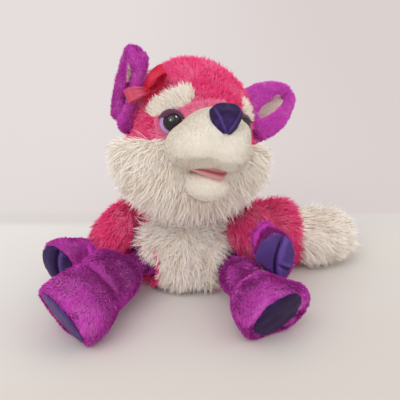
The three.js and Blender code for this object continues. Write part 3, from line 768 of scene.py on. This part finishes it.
def satin_weave():
    """Colour, roughness and relief of satin: long floats one way, with a painted highlight where it is crushed, along
    thin cell lines, and where its point attribute of painted light says so.
    """
    def make(build, given):
        place = build.object_place()
        weave = build.node("ShaderNodeMapping", {
            "Vector": place, "Rotation": (0.5, 0.3, 0.6), "Scale": (1.0, 1.0, 5.0),
        }).outputs[0]
        thread = build.noise(weave, 900.0, 2.0)
        crush = build.noise(place, given["Crush Scale"], 3.0, roughness=0.55, distortion=0.4)
        # Painted highlight: the satin is mixed toward its lit colour on crushed spots, by its point attribute of
        # painted light, and along thin cell lines
        painted_highlight = build.times(build.minus(crush, 0.46), 3.4, clamp=True)
        painted_highlight = build.add(build.times(painted_highlight, given["Crush"]), build.carried("fold"), clamp=True)
        painted_highlight = build.add(painted_highlight, build.math("LESS_THAN", build.cells(place, 130.0), 0.07), clamp=True)
        return {
            "Color": build.mix(painted_highlight, given["Satin"], given["Lit"]),
            "Roughness": build.add(build.times(thread, 0.2), 0.36),
            "Height": build.add(build.times(thread, 0.15), crush),
        }
    floats = {"Crush": 0.5, "Crush Scale": 60.0}
    return group_of("Satin weave", ("Satin", "Lit"), floats, ("Color", "Roughness", "Height"), make)


def new_material(name, roughness, sheen, specular, coat=0.0):
    material = bpy.data.materials.new(name)
    material.use_nodes = True
    shader = material.node_tree.nodes["Principled BSDF"]
    for key, value in {
        "Roughness": roughness,
        "Sheen Weight": sheen,
        "Specular IOR Level": specular,
        "Coat Weight": coat,
    }.items():
        shader.inputs[key].default_value = value
    return material, shader, Tree(material.node_tree)


def once(make):
    """The material of that name, made the first time that it is asked for."""
    def found(name, *looks):
        return bpy.data.materials.get(name) or make(name, *looks)
    return found


def wear(build, shader, tree, inputs):
    """Take colour, and roughness where it varies, from a node group."""
    tone = build.tree.nodes.new("ShaderNodeGroup")
    tone.node_tree = tree
    for key, value in inputs.items():
        tone.inputs[key].default_value = (*value, 1) if hasattr(value, "__len__") else value
    build.feed(shader, "Base Color", tone.outputs["Color"])
    if "Roughness" in tone.outputs:
        build.feed(shader, "Roughness", tone.outputs["Roughness"])
    return tone.outputs


def raise_by(build, shader, height, strength, distance_up):
    bump = build.node("ShaderNodeBump", {"Height": height, "Strength": strength, "Distance": distance_up})
    build.feed(shader, "Normal", bump.outputs[0])


@once
def pile_material(name, deep, full, pale, frost, scale):
    material, shader, build = new_material(name, 0.9, 0.08, 0.1)
    looks = {"Deep": deep, "Full": full, "Pale": pale, "Frost": frost, "Patch Scale": scale}
    wear(build, shader, pile_colour(), looks)
    return material


@once
def ground_material(name, deep, full):
    material, shader, build = new_material(name, 0.95, 0.05, 0.1)
    tone = wear(build, shader, cloth_ground(), {"Deep": deep, "Full": full})
    raise_by(build, shader, tone["Height"], 0.4, 0.0004)
    return material


# The second colour of a satin is its painted highlight
@once
def satin_material(name, satin, painted_highlight, crush, scale):
    material, shader, build = new_material(name, 0.45, 0.0, 0.12)
    looks = {"Satin": satin, "Lit": painted_highlight, "Crush": crush, "Crush Scale": scale}
    tone = wear(build, shader, satin_weave(), looks)
    raise_by(build, shader, tone["Height"], 0.35, 0.0008)
    return material


@once
def sheer_material(name, ribbon, thread):
    """Sheer ribbon that shows a little of what lies behind it."""
    material, shader, build = new_material(name, 0.45, 0.3, 0.4)
    threads = build.cells(build.object_place(), 1500.0)
    build.feed(shader, "Base Color", build.mix(build.times(threads, 0.15), ribbon, thread))
    build.feed(shader, "Alpha", build.add(build.times(threads, 0.25), 0.66, clamp=True))
    return material


@once
def felt_material(name, tone, dark):
    """Short felt, darkened as painted shade where its point attribute of painted light says so."""
    material, shader, build = new_material(name, 0.85, 0.3, 0.2)
    fuzz = build.noise(build.object_place(), 700.0, 4.0)
    soft = build.mix(build.times(fuzz, 0.35), tone, dark)
    build.feed(shader, "Base Color", build.mix(build.carried("fold"), soft, dark))
    raise_by(build, shader, fuzz, 0.5, 0.0004)
    return material


@once
def plastic_material(name, tone, second, roughness, coat=0.0):
    """Moulded plastic, clouded by a second colour, with faint scuffs."""
    material, shader, build = new_material(name, roughness, 0.0, 0.5, coat)
    place = build.object_place()
    build.feed(shader, "Base Color", build.mix(build.noise(place, 260.0, 3.0), tone, second))
    scuff = build.noise(place, 1400.0, 2.0)
    build.feed(shader, "Roughness", build.add(build.times(scuff, 0.06), roughness - 0.03))
    return material


def cloth_materials(cloth):
    """The pile and ground materials of a plush."""
    name, *keys, frost, scale = CLOTHS[cloth]
    deep, full, pale, under = (getattr(bpy.context.scene.fox_colours, key) for key in keys)
    return (
        pile_material(f"{name} pile", deep, full, pale, frost, scale),
        ground_material(f"{name} ground", deep, under),
    )


# Pieces

def dress(obj, material):
    obj.data.materials.clear()
    obj.data.materials.append(material)


def placed(piece, material, body, nodes):
    """A piece in its material, on the body that carries it, for the model's nodes."""
    dress(piece, material)
    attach(piece, body)
    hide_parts(*nodes)


def sewn(name, skin, body, nodes, seed, whole=False):
    """A stuffed cloth and its pile. A part of a skin has a wall, a whole one needs none."""
    kind = name.removeprefix("left_").removeprefix("right_")
    slot, fill, *look = PADDED[kind]
    pile_cloth, ground = cloth_materials(kind if kind in CLOTHS else slot)
    cloth = panel(f"{name}_cloth", skin, wall=0 if whole else CLOTH_WALL)
    placed(cloth, ground, body, nodes)
    fur = comb(f"{name}_pile", skin, pile_cloth, look, seed)
    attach(fur, body)


def bare_piece(name, skin, material, fold, body, node):
    """A stuffed piece with no pile, whose material reads its painted highlights and painted shade from a point
    attribute.
    """
    piece = panel(name, skin, wall=0)
    attribute = piece.data.attributes.new("fold", "FLOAT", "POINT")
    attribute.data.foreach_set("value", np.asarray(fold, np.float32))
    placed(piece, material, body, [node])


class FoxOperator:
    """What every step of the fox shares. The steps run in the order in which they stand here."""
    bl_options = {"REGISTER", "UNDO"}

    def execute(self, context):
        self.make(context.scene.fox_colours)
        return {"FINISHED"}


class FOX_OT_head(FoxOperator, Operator):
    """Stuff the head, and sew and comb its crown, mask, brows, cheeks, muzzle and chin"""
    bl_idname = "fox.head"
    bl_label = "Head"

    def make(self, tone):
        nodes = [own[0] for own, _, _ in HEAD_PIECES.values()]
        crown, mask, left_brow, right_brow, *_, muzzle, _ = range(len(nodes))
        skin = skin_over(nodes + ["head_fill"], 2.0, 26)
        owner = nearest_node(skin, nodes)
        middles = skin.local(HEAD)[skin.faces].mean(axis=1)
        owner[(owner == left_brow) & (middles[:, 0] < 36)] = crown
        owner[(owner == right_brow) & (middles[:, 0] > -13)] = crown
        for mirror in SIDES.values():
            from_eye = np.linalg.norm(middles - [mirror * 35, -52, -8], axis=1)
            owner[(owner == crown) & (from_eye < 19)] = mask
        from_ears = self.shape(skin, owner, muzzle)

        # The fur is short by the eyes, over the face and under the ears, and long below the cheeks
        local = skin.local(HEAD)
        near_eye = np.zeros(len(local))
        for mirror, share in ((1, 0.1), (-1, 1.0)):
            from_eye = np.linalg.norm(local - [mirror * 35, -52, -6], axis=1)
            near_eye = np.maximum(near_eye, bell(from_eye, 0, 16) * share)
        face = ease(np.linalg.norm(local - [0, -70, -30], axis=1), 34, 58)
        hang = 1 + 0.35 * ease(-local[:, 2], 48, 72)
        ways = (away_from(skin, HEAD, (0, -30, -20)), way(HEAD, 0, 1, 0), DOWN)
        for i, (name, (own, _, shares)) in enumerate(HEAD_PIECES.items()):
            pull = sum(share * one for share, one in zip(shares, ways))
            brush(skin, pull, {"crown": 1.1, "muzzle": 0.2, "chin": 0.2}.get(name, 0.6), 14, i)
            reach = 1 - near_eye * (0 if name in ("mask", "muzzle", "chin") else 0.6)
            if name == "crown":
                reach = reach * (0.3 + 0.7 * ease(from_ears, 3, 11))
            if "cheek" in name:
                reach = reach * (0.35 + 0.65 * face) * hang
            skin.values["reach"] = reach
            sewn(name, skin.part(owner == i), "head", own, 10 * i)

    @staticmethod
    def shape(skin, owner, muzzle):
        """Stuff and sculpt the head. How far each point lies from the ears comes back."""
        # The muzzle swells, most in the valley of its middle, and each panel is drawn in to leave room for its pile
        x, y, z = skin.local(HEAD).T
        valley = bell(x, 0, 9) * bell(z, -38, 16) * ease(-y, 60, 90)
        skin.push(skin.soft(owner >= muzzle, 3) * (1.6 + 4.0 * valley))
        skin.push(-skin.soft(np.choose(owner, [inset for _, inset, _ in HEAD_PIECES.values()]), 6))

        # The crown makes room for the curl of the right ear
        from_ears = distance_to(skin, [f"{side}_ear_{piece}" for side in SIDES for piece in ("shell", "lining")])
        x, y, z = skin.local(EAR["right"]).T
        in_ear = ease(-y, -14, 2) * (1 - ease(np.hypot(x, z), 10, 20))
        skin.move(-13 * skin.blurred(in_ear, 3)[:, None] * away_from(skin, HEAD, (0, 0, 0)))

        # Muzzle, mouth, the inner end of the brow and the top, as the fox is looked at, and a bridge by the nose
        aside, up = seen(skin)
        front = ease(-skin.local(HEAD)[:, 1], 40, 60)
        across = ease(aside, -22, -8) * (1 - ease(aside, 70, 85))
        drawn(skin, front * across * bell(up, 122, 26), -5.0, 0)
        drawn(skin, front * bell(aside, 20, 26) * bell(up, 103, 9), 0, 4.0)
        drawn(skin, front * bell(aside, 8, 14) * bell(up, 180, 18), -3.0, -9.5)
        drawn(skin, bell(aside, -2, 26) * ease(up, 190, 225), 0, 4.5)
        skin.push(8.0 * front * bell(aside, 60, 8) * bell(up, 146, 12))
        return from_ears


class FOX_OT_face(FoxOperator, Operator):
    """Make the satin nose and the felt lips"""
    bl_idname = "fox.face"
    bl_label = "Nose and lips"

    def make(self, tone):
        # The nose narrows downward, with a seam down its middle and a wing to each side
        nose = skin_over(["nose"], 0.8, 10)
        x, _, z = nose.local(HEAD).T
        narrow = np.where(np.abs(x) > 0.1, x, 0) * (0.1 - 0.28 * ease(-z, -6, 16))
        nose.move(np.outer(narrow, way(HEAD, 1, 0, 0)))
        x, y, z = nose.local(HEAD).T
        front = ease(-y, 99, 104)
        beside = np.abs(x) - 0.55 * (z + 14)
        seam = bell(x, 0, 1.1) * ease(-z, 4, 9) * front
        wings = bell(beside, 0, 1.2) * ease(z, -13, -9) * ease(-z, 2, 7) * front
        nose.push(-1.8 * seam - 1.2 * wings + 0.5 * ripples(nose, 6, 3)[:, 0])
        # Painted highlight in a band beside each wing of the nose
        fold = 0.55 * bell(beside, 1.4, 1.1) * front
        satin = satin_material("Nose satin", tone.satin, tone.satin_highlight, 0.35, 90.0)
        bare_piece("nose_satin", nose, satin, fold, "head", "nose")

        # The lips hang lower to one side, parted by a groove that is darkened as painted shade
        lips = skin_over(["lips"], 0.8, 8)
        aside, up = seen(lips)
        along, low = np.clip((aside - 7.5) / 39, 0, 1), np.clip((101.8 - up) / 6.8, 0, 1)
        hang = 3.0 + 8.1 * ease(along, 0, 0.8) - 8.5 * ease(along, 0.82, 1)
        x, y, z = lips.local(HEAD).T
        line = -50 - 0.0024 * x ** 2
        front = ease(-y, 70, 84)
        lips.push(1.2 - 1.8 * bell(z, line, 0.8) * front)
        drawn(lips, 1.0, -4.5, 106 - along - low * hang - up)
        # Painted shade in the parting groove, toward the dark felt colour
        fold = np.clip(1.2 * bell(z, line, 1.0) * front, 0, 1)
        felt = felt_material("Lip felt", tone.lip, linear(150, 62, 74))
        bare_piece("lips_felt", lips, felt, fold, "head", "lips")


class FOX_OT_eyes(FoxOperator, Operator):
    """Mould the eyes: a lilac dome on its ribbed shank, a dark lens in it and a felt lid over it"""
    bl_idname = "fox.eyes"
    bl_label = "Eyes"

    def make(self, tone):
        lilac = plastic_material("Lilac plastic", linear(196, 158, 214), linear(150, 100, 176), 0.18, 0.4)
        dark = plastic_material("Lens plastic", linear(14, 7, 7), linear(28, 14, 14), 0.05)
        felt = felt_material("Lid felt", linear(92, 36, 70), linear(60, 20, 44))
        shank = [(STEM, 0.0)]
        for i in range(RIB_COUNT):
            start = FIRST_RIB + i * RIB_PITCH
            shank += [(STEM, start), (RIB, start), (STEM, start + RIB_THICK)]
        shank.append((0, SHANK_END))
        egg = bowl(*LENS, 40, math.pi)
        lens_outline = [(radius, y) for radius, y in egg if y < LENS_CUT]
        lens_outline.append((0, lens_outline[-1][1]))
        for side, mirror in SIDES.items():
            aside, back, up = LENS_PLACE
            lens_at = frame_at(EYE[side], (-mirror * aside, back, up))
            eye = lathe(f"{side}_eye_dome", EYE[side], bowl(*DOME, 24) + shank)
            lens = lathe(f"{side}_eye_lens", lens_at, lens_outline)
            lid = lathe(f"{side}_eye_lid", EYE[side], bowl(*LID_OUTSIDE, 20) + bowl(*LID_INSIDE, 20)[::-1])
            seat = lathe("seat", lens_at, [(radius * 1.01, y * 1.015) for radius, y in egg])
            room = lathe("lens room", lens_at, [(radius * 1.05, y * 1.05) for radius, y in egg])
            carved(eye, [(seat, "DIFFERENCE")])
            carved(lid, [(self.above(EYE[side], LID_LINE), "INTERSECT"), (room, "DIFFERENCE")])
            for piece, node, material, slot in (
                (eye, f"{side}_eye", lilac, "lilac_plastic"),
                (lens, f"{side}_pupil", dark, "dark_plastic"),
                (lid, f"{side}_eyelid", felt, "lid_felt"),
            ):
                placed(finished(piece.name, piece), material, "head", [node])

    @staticmethod
    def above(matrix, line, size=40):
        """A block above a line across the eye, leaning back."""
        box = bmesh.new()
        bmesh.ops.create_cube(box, size=size * MM)
        low = Matrix.Translation((0, 0, line * MM)) @ Matrix.Rotation(math.radians(-10), 4, "X")
        place = matrix @ low @ Matrix.Translation((0, 0, size * MM / 2))
        bmesh.ops.transform(box, verts=box.verts, matrix=place)
        return shown("above", poured(box, "above"))


class FOX_OT_ears(FoxOperator, Operator):
    """Sew the curled ears in purple plush, with pale linings"""
    bl_idname = "fox.ears"
    bl_label = "Ears"

    def make(self, tone):
        for i, side in enumerate(SIDES):
            ear, inside = f"{side}_ear", [f"{side}_ear_lining"]
            skin, lining = skin_over([f"{side}_ear_shell"], 1.1, 12), skin_over(inside, 0.8, 5)
            outer = ease(distance_to(skin, inside), 1.6, 4.0)
            skin.values["thick"] = outer
            skin.push(1.2 * outer)
            aside, up = seen(skin)
            if side == "left":
                rim = 0.3 * (1 - ease(distance_to(skin, inside), 1.0, 5.0))
                drawn(skin, 1.0, rim * (83 - aside) - 0.07 * (aside - 70), rim * (164 - up) - 0.08 * (up - 160))
                aside, up = seen(lining)
                drawn(lining, 1.0, -0.07 * (aside - 70), -0.08 * (up - 160))
            else:
                drawn(skin, ease(aside, -51.5, -48.5) * ease(-up, -208, -178), 4.5, 0)
            tip = way(EAR[side], 0, -1, 0)
            brush(skin, tip, 0.9, 12, 30 + i)
            sewn(ear, skin, ear, [f"{side}_ear_shell"], 31 + i, whole=True)
            brush(lining, tip, 0.6, 12, 33 + i)
            sewn(f"{ear}_lining", lining, ear, inside, 35 + i, whole=True)


class FOX_OT_bow(FoxOperator, Operator):
    """Tie the bow: a satin loop and a sheer loop under one knot"""
    bl_idname = "fox.bow"
    bl_label = "Bow"

    def make(self, tone):
        # The ribbon's second colour is its painted highlight
        satin = satin_material("Red satin", tone.ribbon, linear(240, 84, 110), 0.5, 110.0)
        sheer = sheer_material("Sheer ribbon", tone.sheer, linear(240, 110, 146))
        for name, length, turn, material, slot, seed in (
            ("bow_loop_satin", 27, dict(yaw=36, pitch=47, roll=-72), satin, "red_satin", 41),
            ("bow_loop_sheer", 20, dict(yaw=-84, pitch=-18, roll=70), sheer, "sheer_ribbon", 42),
        ):
            piece, flat = self.loop(f"{name}_ribbon", BOW @ turned(**turn), length, 13, 10, seed)
            dress(piece, material)
            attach(piece, "head")
            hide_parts(name)
        knot = skin_over(["bow_knot"], 0.6, 6)
        knot.push(0.5 * ripples(knot, 4, 5)[:, 0])
        placed(panel("bow_knot_satin", knot, wall=0), satin, "head", ["bow_knot"])

    @staticmethod
    def loop(name, matrix, length, width, height, seed, around=56, across=14):
        """A ribbon that leaves the knot, turns over and comes back, gathered into folds at the knot."""
        places = []
        run, last = 0.0, None
        for i in range(around + 1):
            angle = 2 * math.pi * (0.012 + 0.976 * i / around)
            along = length / 2 * (1 - math.cos(angle))
            up = height / 2 * math.sin(angle)
            run += math.dist(last, (along, up)) if last else 0
            last = (along, up)
            out = along / length
            pinch = 0.42 + 0.58 * min(1, out * 1.5) ** 0.8
            for j in range(across + 1):
                v = 2 * j / across - 1
                crimp = (1 - min(1, out * 1.4)) * 1.5 * math.cos(math.pi * 3 * v)
                wave = 0.8 * noise.noise(Vector((along * 0.12, v * 0.9, seed)))
                spot = Vector((v * width / 2 * pinch, -along, up + (crimp + wave) * 0.5))
                places.append(matrix @ (spot * MM))
        wide = across + 1
        faces = [
            (i * wide + j, i * wide + j + 1, (i + 1) * wide + j + 1, (i + 1) * wide + j)
            for i in range(around) for j in range(across)
        ]
        mesh = bpy.data.meshes.new(name)
        mesh.from_pydata(places, [], faces)
        obj = shown(name, mesh)
        solid = obj.modifiers.new("Cloth", "SOLIDIFY")
        solid.thickness = 0.3 * MM
        solid.offset = 0
        return finished(name, obj), (width * MM, run * MM)


class FOX_OT_body(FoxOperator, Operator):
    """Stuff the torso and the neck, and sew and comb the pink coat and the cream bib"""
    bl_idname = "fox.body"
    bl_label = "Body"

    def make(self, tone):
        names = ["body_cover", "chest_panel"]
        skin = skin_over(names + ["body_fill", "pellet_bag"], 2.0, 20)
        owner = nearest_node(skin, names)
        aside, _, height = skin.places[skin.faces].mean(axis=1).T / MM
        beside_bib = (aside < -24 - 0.5 * np.maximum(height - 30, 0)) & (height < 58)
        owner[beside_bib | (height < 0.7 * (aside - 10))] = 0
        skin.push(-skin.soft(np.choose(owner, [5.0, 6.5]), 6))
        aside, back, height = skin.places.T / MM
        skin.push(7.0 * bell(aside, -37, 11) * bell(height, 30, 14) * ease(-back, 18, 34))
        skin.rest_on(FLOOR_GAP)
        skin.thin_below()
        aside, _, height = skin.places.T / MM
        low_side = bell(aside, -30, 14) * (1 - ease(height, 35, 55))
        skin.values["reach"] = 0.8 + 0.5 * ease(np.abs(aside - 3), 20, 45) - 0.5 * low_side
        for i, (name, nodes, out, down, stray) in enumerate((
            ("coat", ["body_cover", "body_fill", "pellet_bag"], 0.3, 0.7, 0.6),
            ("bib", ["chest_panel"], 1.2, 0.35, 0.9),
        )):
            brush(skin, away_from(skin, WORLD, (3, -50, 68)) * out + down * DOWN, stray, 20, 50 + i)
            sewn(name, skin.part(owner == i), "torso", nodes, 50 + 10 * i)
        neck = skin_over(["neck_core"], 2.0, 6)
        neck.push(-1.0)
        brush(neck, DOWN, 0.7, 14, 70)
        sewn("neck", neck, "neck", ["neck_core"], 71, whole=True)


class FOX_OT_arms(FoxOperator, Operator):
    """Sew the pink upper arms and the purple paws with their satin palms"""
    bl_idname = "fox.arms"
    bl_label = "Arms"

    def make(self, tone):
        for i, side in enumerate(SIDES):
            nodes = [f"{side}_upper_arm_cover", f"{side}_upper_arm_fill"]
            upper = skin_over(nodes, 1.8, 14)
            upper.push(-3.6)
            brush(upper, way(ARM[side], 0, -1, 0) + 0.5 * DOWN, 0.6, 16, 80 + i)
            sewn(f"{side}_upper_arm", upper, f"{side}_arm", nodes, 80 + i, whole=True)

            # A paw is narrower than its solid, most of all at the wrist. The left one is flat on its outer side.
            nodes = [f"{side}_paw_cover", f"{side}_paw_fill"]
            paw = skin_over(nodes, 1.7, 14)
            x, y, z = paw.local(PAW[side]).T
            wrist = 1 - ease(-y, 8, 34)
            paw.move(-np.outer(x * (0.12 + 0.14 * wrist), way(PAW[side], 1, 0, 0)))
            paw.push(-1.2 - 3.0 * wrist * ease(z, -6, 12) + 0.7 * ripples(paw, 18, 40 + i)[:, 0])
            if side == "left":
                drawn(paw, -0.22, np.maximum(seen(paw)[0] - 72, 0), 0)
            pull = np.outer(ease(-y, 4, 24), way(PAW[side], 0, -1, 0))
            brush(paw, pull + 0.5 * away_from(paw, PAW[side], (0, -14, 0)), 0.9, 16, 84 + i)
            sewn(f"{side}_paw", paw, f"{side}_paw", nodes, 84 + i, whole=True)
            # The left palm gets more painted light than the right one
            pad(f"{side}_palm", PALM[side], f"{side}_paw", tone, 0, 0.5 if side == "left" else 0.1)


def pad(name, matrix, body, tone, folds, pale):
    """A puffed satin pad, creased across at folds, in millimetres from its middle. Its colour has painted highlights
    in bands beside the creases and painted shade in them, and pale lightens the whole pad as painted light.
    """
    skin = skin_over([f"{name}_pad"], 0.9, 8)
    x, y, z = skin.local(matrix).T
    grown = np.array(matrix) @ np.diag([1.1, 1, 1.1, 1]) @ np.array(matrix.inverted())
    skin.places = skin.places @ grown[:3, :3].T + grown[:3, 3]
    if name == "left_palm":
        drawn(skin, 1.0, -8.0 - 0.06 * (seen(skin)[0] - 85), 3.0)
        skin.move(way(matrix, 0, -3.0, 0))
    skin.rest_on(PAD_GAP)
    front = ease(-y, 0.6, 2.0)
    bent = x - 0.12 * z - 0.012 * z ** 2
    across = z + 0.5 * x + 5
    branch = ease(bent, folds, folds + 5)
    crease = np.maximum(bell(bent, folds, 1.6), 0.7 * bell(across, 0, 1.6) * branch) * front
    bulge = bell(bent, folds + 7, 5) + bell(bent, folds - 7, 5)
    skin.push(-2.4 * crease + 1.2 * bulge * front + 0.6 * ripples(skin, 12, len(name))[:, 0])
    # Painted highlight in bands beside the creases, painted shade in the creases, and pale as an evenly lit copy of
    # the satin
    painted_highlight = np.maximum(bell(bent, folds + 4.0, 2.6), 0.8 * bell(across, 4, 2.2) * branch)
    fold = np.clip((0.6 * painted_highlight - 0.7 * crease) * front + pale, 0, 1)
    satin = satin_material("Pad satin", tone.satin, tone.satin_highlight, 0.2, 45.0)
    bare_piece(f"{name}_satin", skin, satin, fold, body, f"{name}_pad")


class FOX_OT_legs(FoxOperator, Operator):
    """Sew the purple legs with their satin soles"""
    bl_idname = "fox.legs"
    bl_label = "Legs"

    def make(self, tone):
        for i, side in enumerate(SIDES):
            nodes = [f"{side}_leg_cover", f"{side}_leg_fill"]
            leg = skin_over(nodes, 1.9, 20)
            _, y, z = leg.local(LEG[side]).T
            reach = -y / LEG_REACH[side] - 0.0016 * z
            root = 1 - ease(reach, 0.1, 0.34)
            shank = ease(reach, 0.2, 0.5) * (1 - ease(reach, 0.56, 0.72))
            ankle = bell(reach, 0.63, 0.035)
            foot = bell(reach, 0.82, 0.13) * (1 - 0.8 * ease(z, 5, 25))
            slim = -1.2 - 8.0 * root - {"left": 3.6, "right": 0.72}[side] * shank - 2.6 * ankle + 2.0 * foot
            leg.push(slim + 1.3 * ripples(leg, 22, 60 + i)[:, 0])
            aside, up = seen(leg)
            if side == "right":
                drawn(leg, bell(aside, -80, 20) * ease(up, 0, 18), -4.0, 11.0)
            else:
                drawn(leg, bell(aside, 90, 22) * ease(up, -8, 12), 0, -6.0)
            leg.rest_on(FLOOR_GAP)
            leg.thin_below()
            brush(leg, way(LEG[side], 0, -1, 0) + 0.3 * DOWN, 1.0, 18, 90 + i)
            sewn(f"{side}_leg", leg, f"{side}_leg", nodes, 90 + i, whole=True)
            # The right sole gets painted light, the left one none
            pad(f"{side}_sole", SOLE[side], f"{side}_leg", tone, 60, 0.0 if side == "left" else 0.45)


class FOX_OT_tail(FoxOperator, Operator):
    """Sew the tail: a pink root and a long cream tip"""
    bl_idname = "fox.tail"
    bl_label = "Tail"

    def make(self, tone):
        root, tip = "tail_root_cover", "tail_tip_cover"
        skin = skin_over([root, tip, "tail_fill"], 2.0, 14)
        owner = nearest_node(skin, [root, tip])
        skin.push(-skin.soft(np.choose(owner, [6.0, 9.0]), 6))
        skin.rest_on(FLOOR_GAP)
        skin.places[:, 2] *= 1 - 0.16 * ease(-skin.local(TAIL)[:, 1], 58, 84)
        skin.thin_below()
        for i, (name, nodes) in enumerate((("tail_root", [root, "tail_fill"]), ("tail_tip", [tip]))):
            brush(skin, 1.3 * way(TAIL, 0, -1, 0) + 0.35 * DOWN, 0.7, 20, 100 + i)
            sewn(name, skin.part(owner == i), "tail", nodes, 100 + 10 * i)


class FOX_OT_fittings(FoxOperator, Operator):
    """Finish the nylon lock washers behind the eyes"""
    bl_idname = "fox.fittings"
    bl_label = "Washers"

    def make(self, tone):
        nylon = plastic_material("Nylon", linear(222, 220, 214), linear(204, 202, 196), 0.45)
        for side in SIDES:
            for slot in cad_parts[f"{side}_eye_washer"].material_slots:
                slot.link = "OBJECT"
                slot.material = nylon


class FOX_OT_stage(FoxOperator, Operator):
    """Set the pale floor, the soft light and the camera"""
    bl_idname = "fox.stage"
    bl_label = "Stage"

    def make(self, tone):
        # A floor whose far part is toned as a wall, with painted shade: darker near the camera, to the right, in a
        # band at the wall's foot and on the wall's right side
        mesh = bpy.data.meshes.new("floor")
        reach = 4.0
        corners = [(-reach, -reach, 0), (reach, -reach, 0), (reach, reach, 0), (-reach, reach, 0)]
        mesh.from_pydata(corners, [], [(0, 1, 2, 3)])
        floor = shown("floor", mesh)
        material, shader, build = new_material("Floor", 0.9, 0.0, 0.1)
        aside, depth, _ = build.split(build.object_place())
        aside = build.ramp(aside, *FLOOR_SIDE)
        # Painted shade on the floor: darker near the camera and toward the right
        ground = build.mix(build.ramp(depth, *FLOOR_NEAR), linear(219, 209, 201), linear(233, 231, 227))
        ground = build.mix(build.times(aside, 0.6), ground, linear(212, 203, 196))
        # Painted shade in a band where the wall meets the floor
        ground = build.mix(build.ramp(depth, *WALL_FOOT), ground, linear(221, 217, 214))
        # Painted shade: the wall is darker on its right
        wall = build.mix(aside, linear(226, 220, 220), linear(216, 207, 206))
        build.feed(shader, "Base Color", build.mix(build.ramp(depth, *WALL), ground, wall))
        dress(floor, material)

        world = bpy.data.worlds.new("Studio")
        bpy.context.scene.world = world
        world.use_nodes = True
        light = world.node_tree.nodes["Background"]
        light.inputs["Color"].default_value = (1.0, 0.985, 0.97, 1)
        light.inputs["Strength"].default_value = 0.74
        for name, strength, spread, turn in (
            ("key", 1.0, 50, (42, 0, -28)),
            ("side", 0.3, 70, (55, 0, 60)),
        ):
            lamp = bpy.data.lights.new(name, "SUN")
            lamp.energy = strength
            lamp.angle = math.radians(spread)
            shown(name, lamp).rotation_euler = [math.radians(angle) for angle in turn]

        # Two panes that only the eyes and the satin mirror
        for name, place, size, energy in (
            ("window", (0.5, -0.25, 1.2), (0.3, 0.3), 6.0),
            ("pane", (-0.5, -0.9, 0.9), (0.1, 0.3), 2.0),
        ):
            lamp = bpy.data.lights.new(name, "AREA")
            lamp.shape = "RECTANGLE"
            lamp.size, lamp.size_y = size
            lamp.energy = energy
            holder = shown(name, lamp)
            holder.location = place
            holder.visible_diffuse = False
            holder.rotation_euler = (Vector(place) - Vector((0, -0.05, 0.16))).to_track_quat("Z", "Y").to_euler()

        camera = bpy.data.cameras.new("camera")
        camera.lens = 85.5
        camera.clip_start, camera.clip_end = 0.05, 20
        holder = shown("camera", camera)
        away = Vector((0, -math.cos(LOOK_DOWN), math.sin(LOOK_DOWN)))
        holder.location = Vector(AIM) + away * CAMERA_AWAY
        holder.rotation_euler = (-away).to_track_quat("-Z", "Y").to_euler()
        bpy.context.scene.camera = holder
        bpy.context.scene.view_settings.view_transform = "Standard"


class FOX_PT_panel(Panel):
    """The fox's colours, pile and steps."""
    bl_label = "Plush fox"
    bl_idname = "FOX_PT_panel"
    bl_space_type = "VIEW_3D"
    bl_region_type = "UI"
    bl_category = "Plush fox"

    def draw(self, context):
        for group in (context.scene.fox_colours, context.scene.fox_pile):
            box = self.layout.box()
            for key in group.bl_rna.properties.keys():
                if key not in ("rna_type", "name"):
                    box.prop(group, key)
        for step in STEPS:
            self.layout.operator(step.bl_idname)


STEPS = tuple(FoxOperator.__subclasses__())
CLASSES = (FoxColours, FoxPile, *STEPS, FOX_PT_panel)


def register():
    for cls in CLASSES:
        bpy.utils.register_class(cls)
    bpy.types.Scene.fox_colours = PointerProperty(type=FoxColours)
    bpy.types.Scene.fox_pile = PointerProperty(type=FoxPile)


def unregister():
    del bpy.types.Scene.fox_pile
    del bpy.types.Scene.fox_colours
    for cls in reversed(CLASSES):
        bpy.utils.unregister_class(cls)


def main():
    register()
    for step in STEPS:
        getattr(bpy.ops.fox, step.bl_idname.split(".")[1])()


if __name__ == "__main__":
    main()
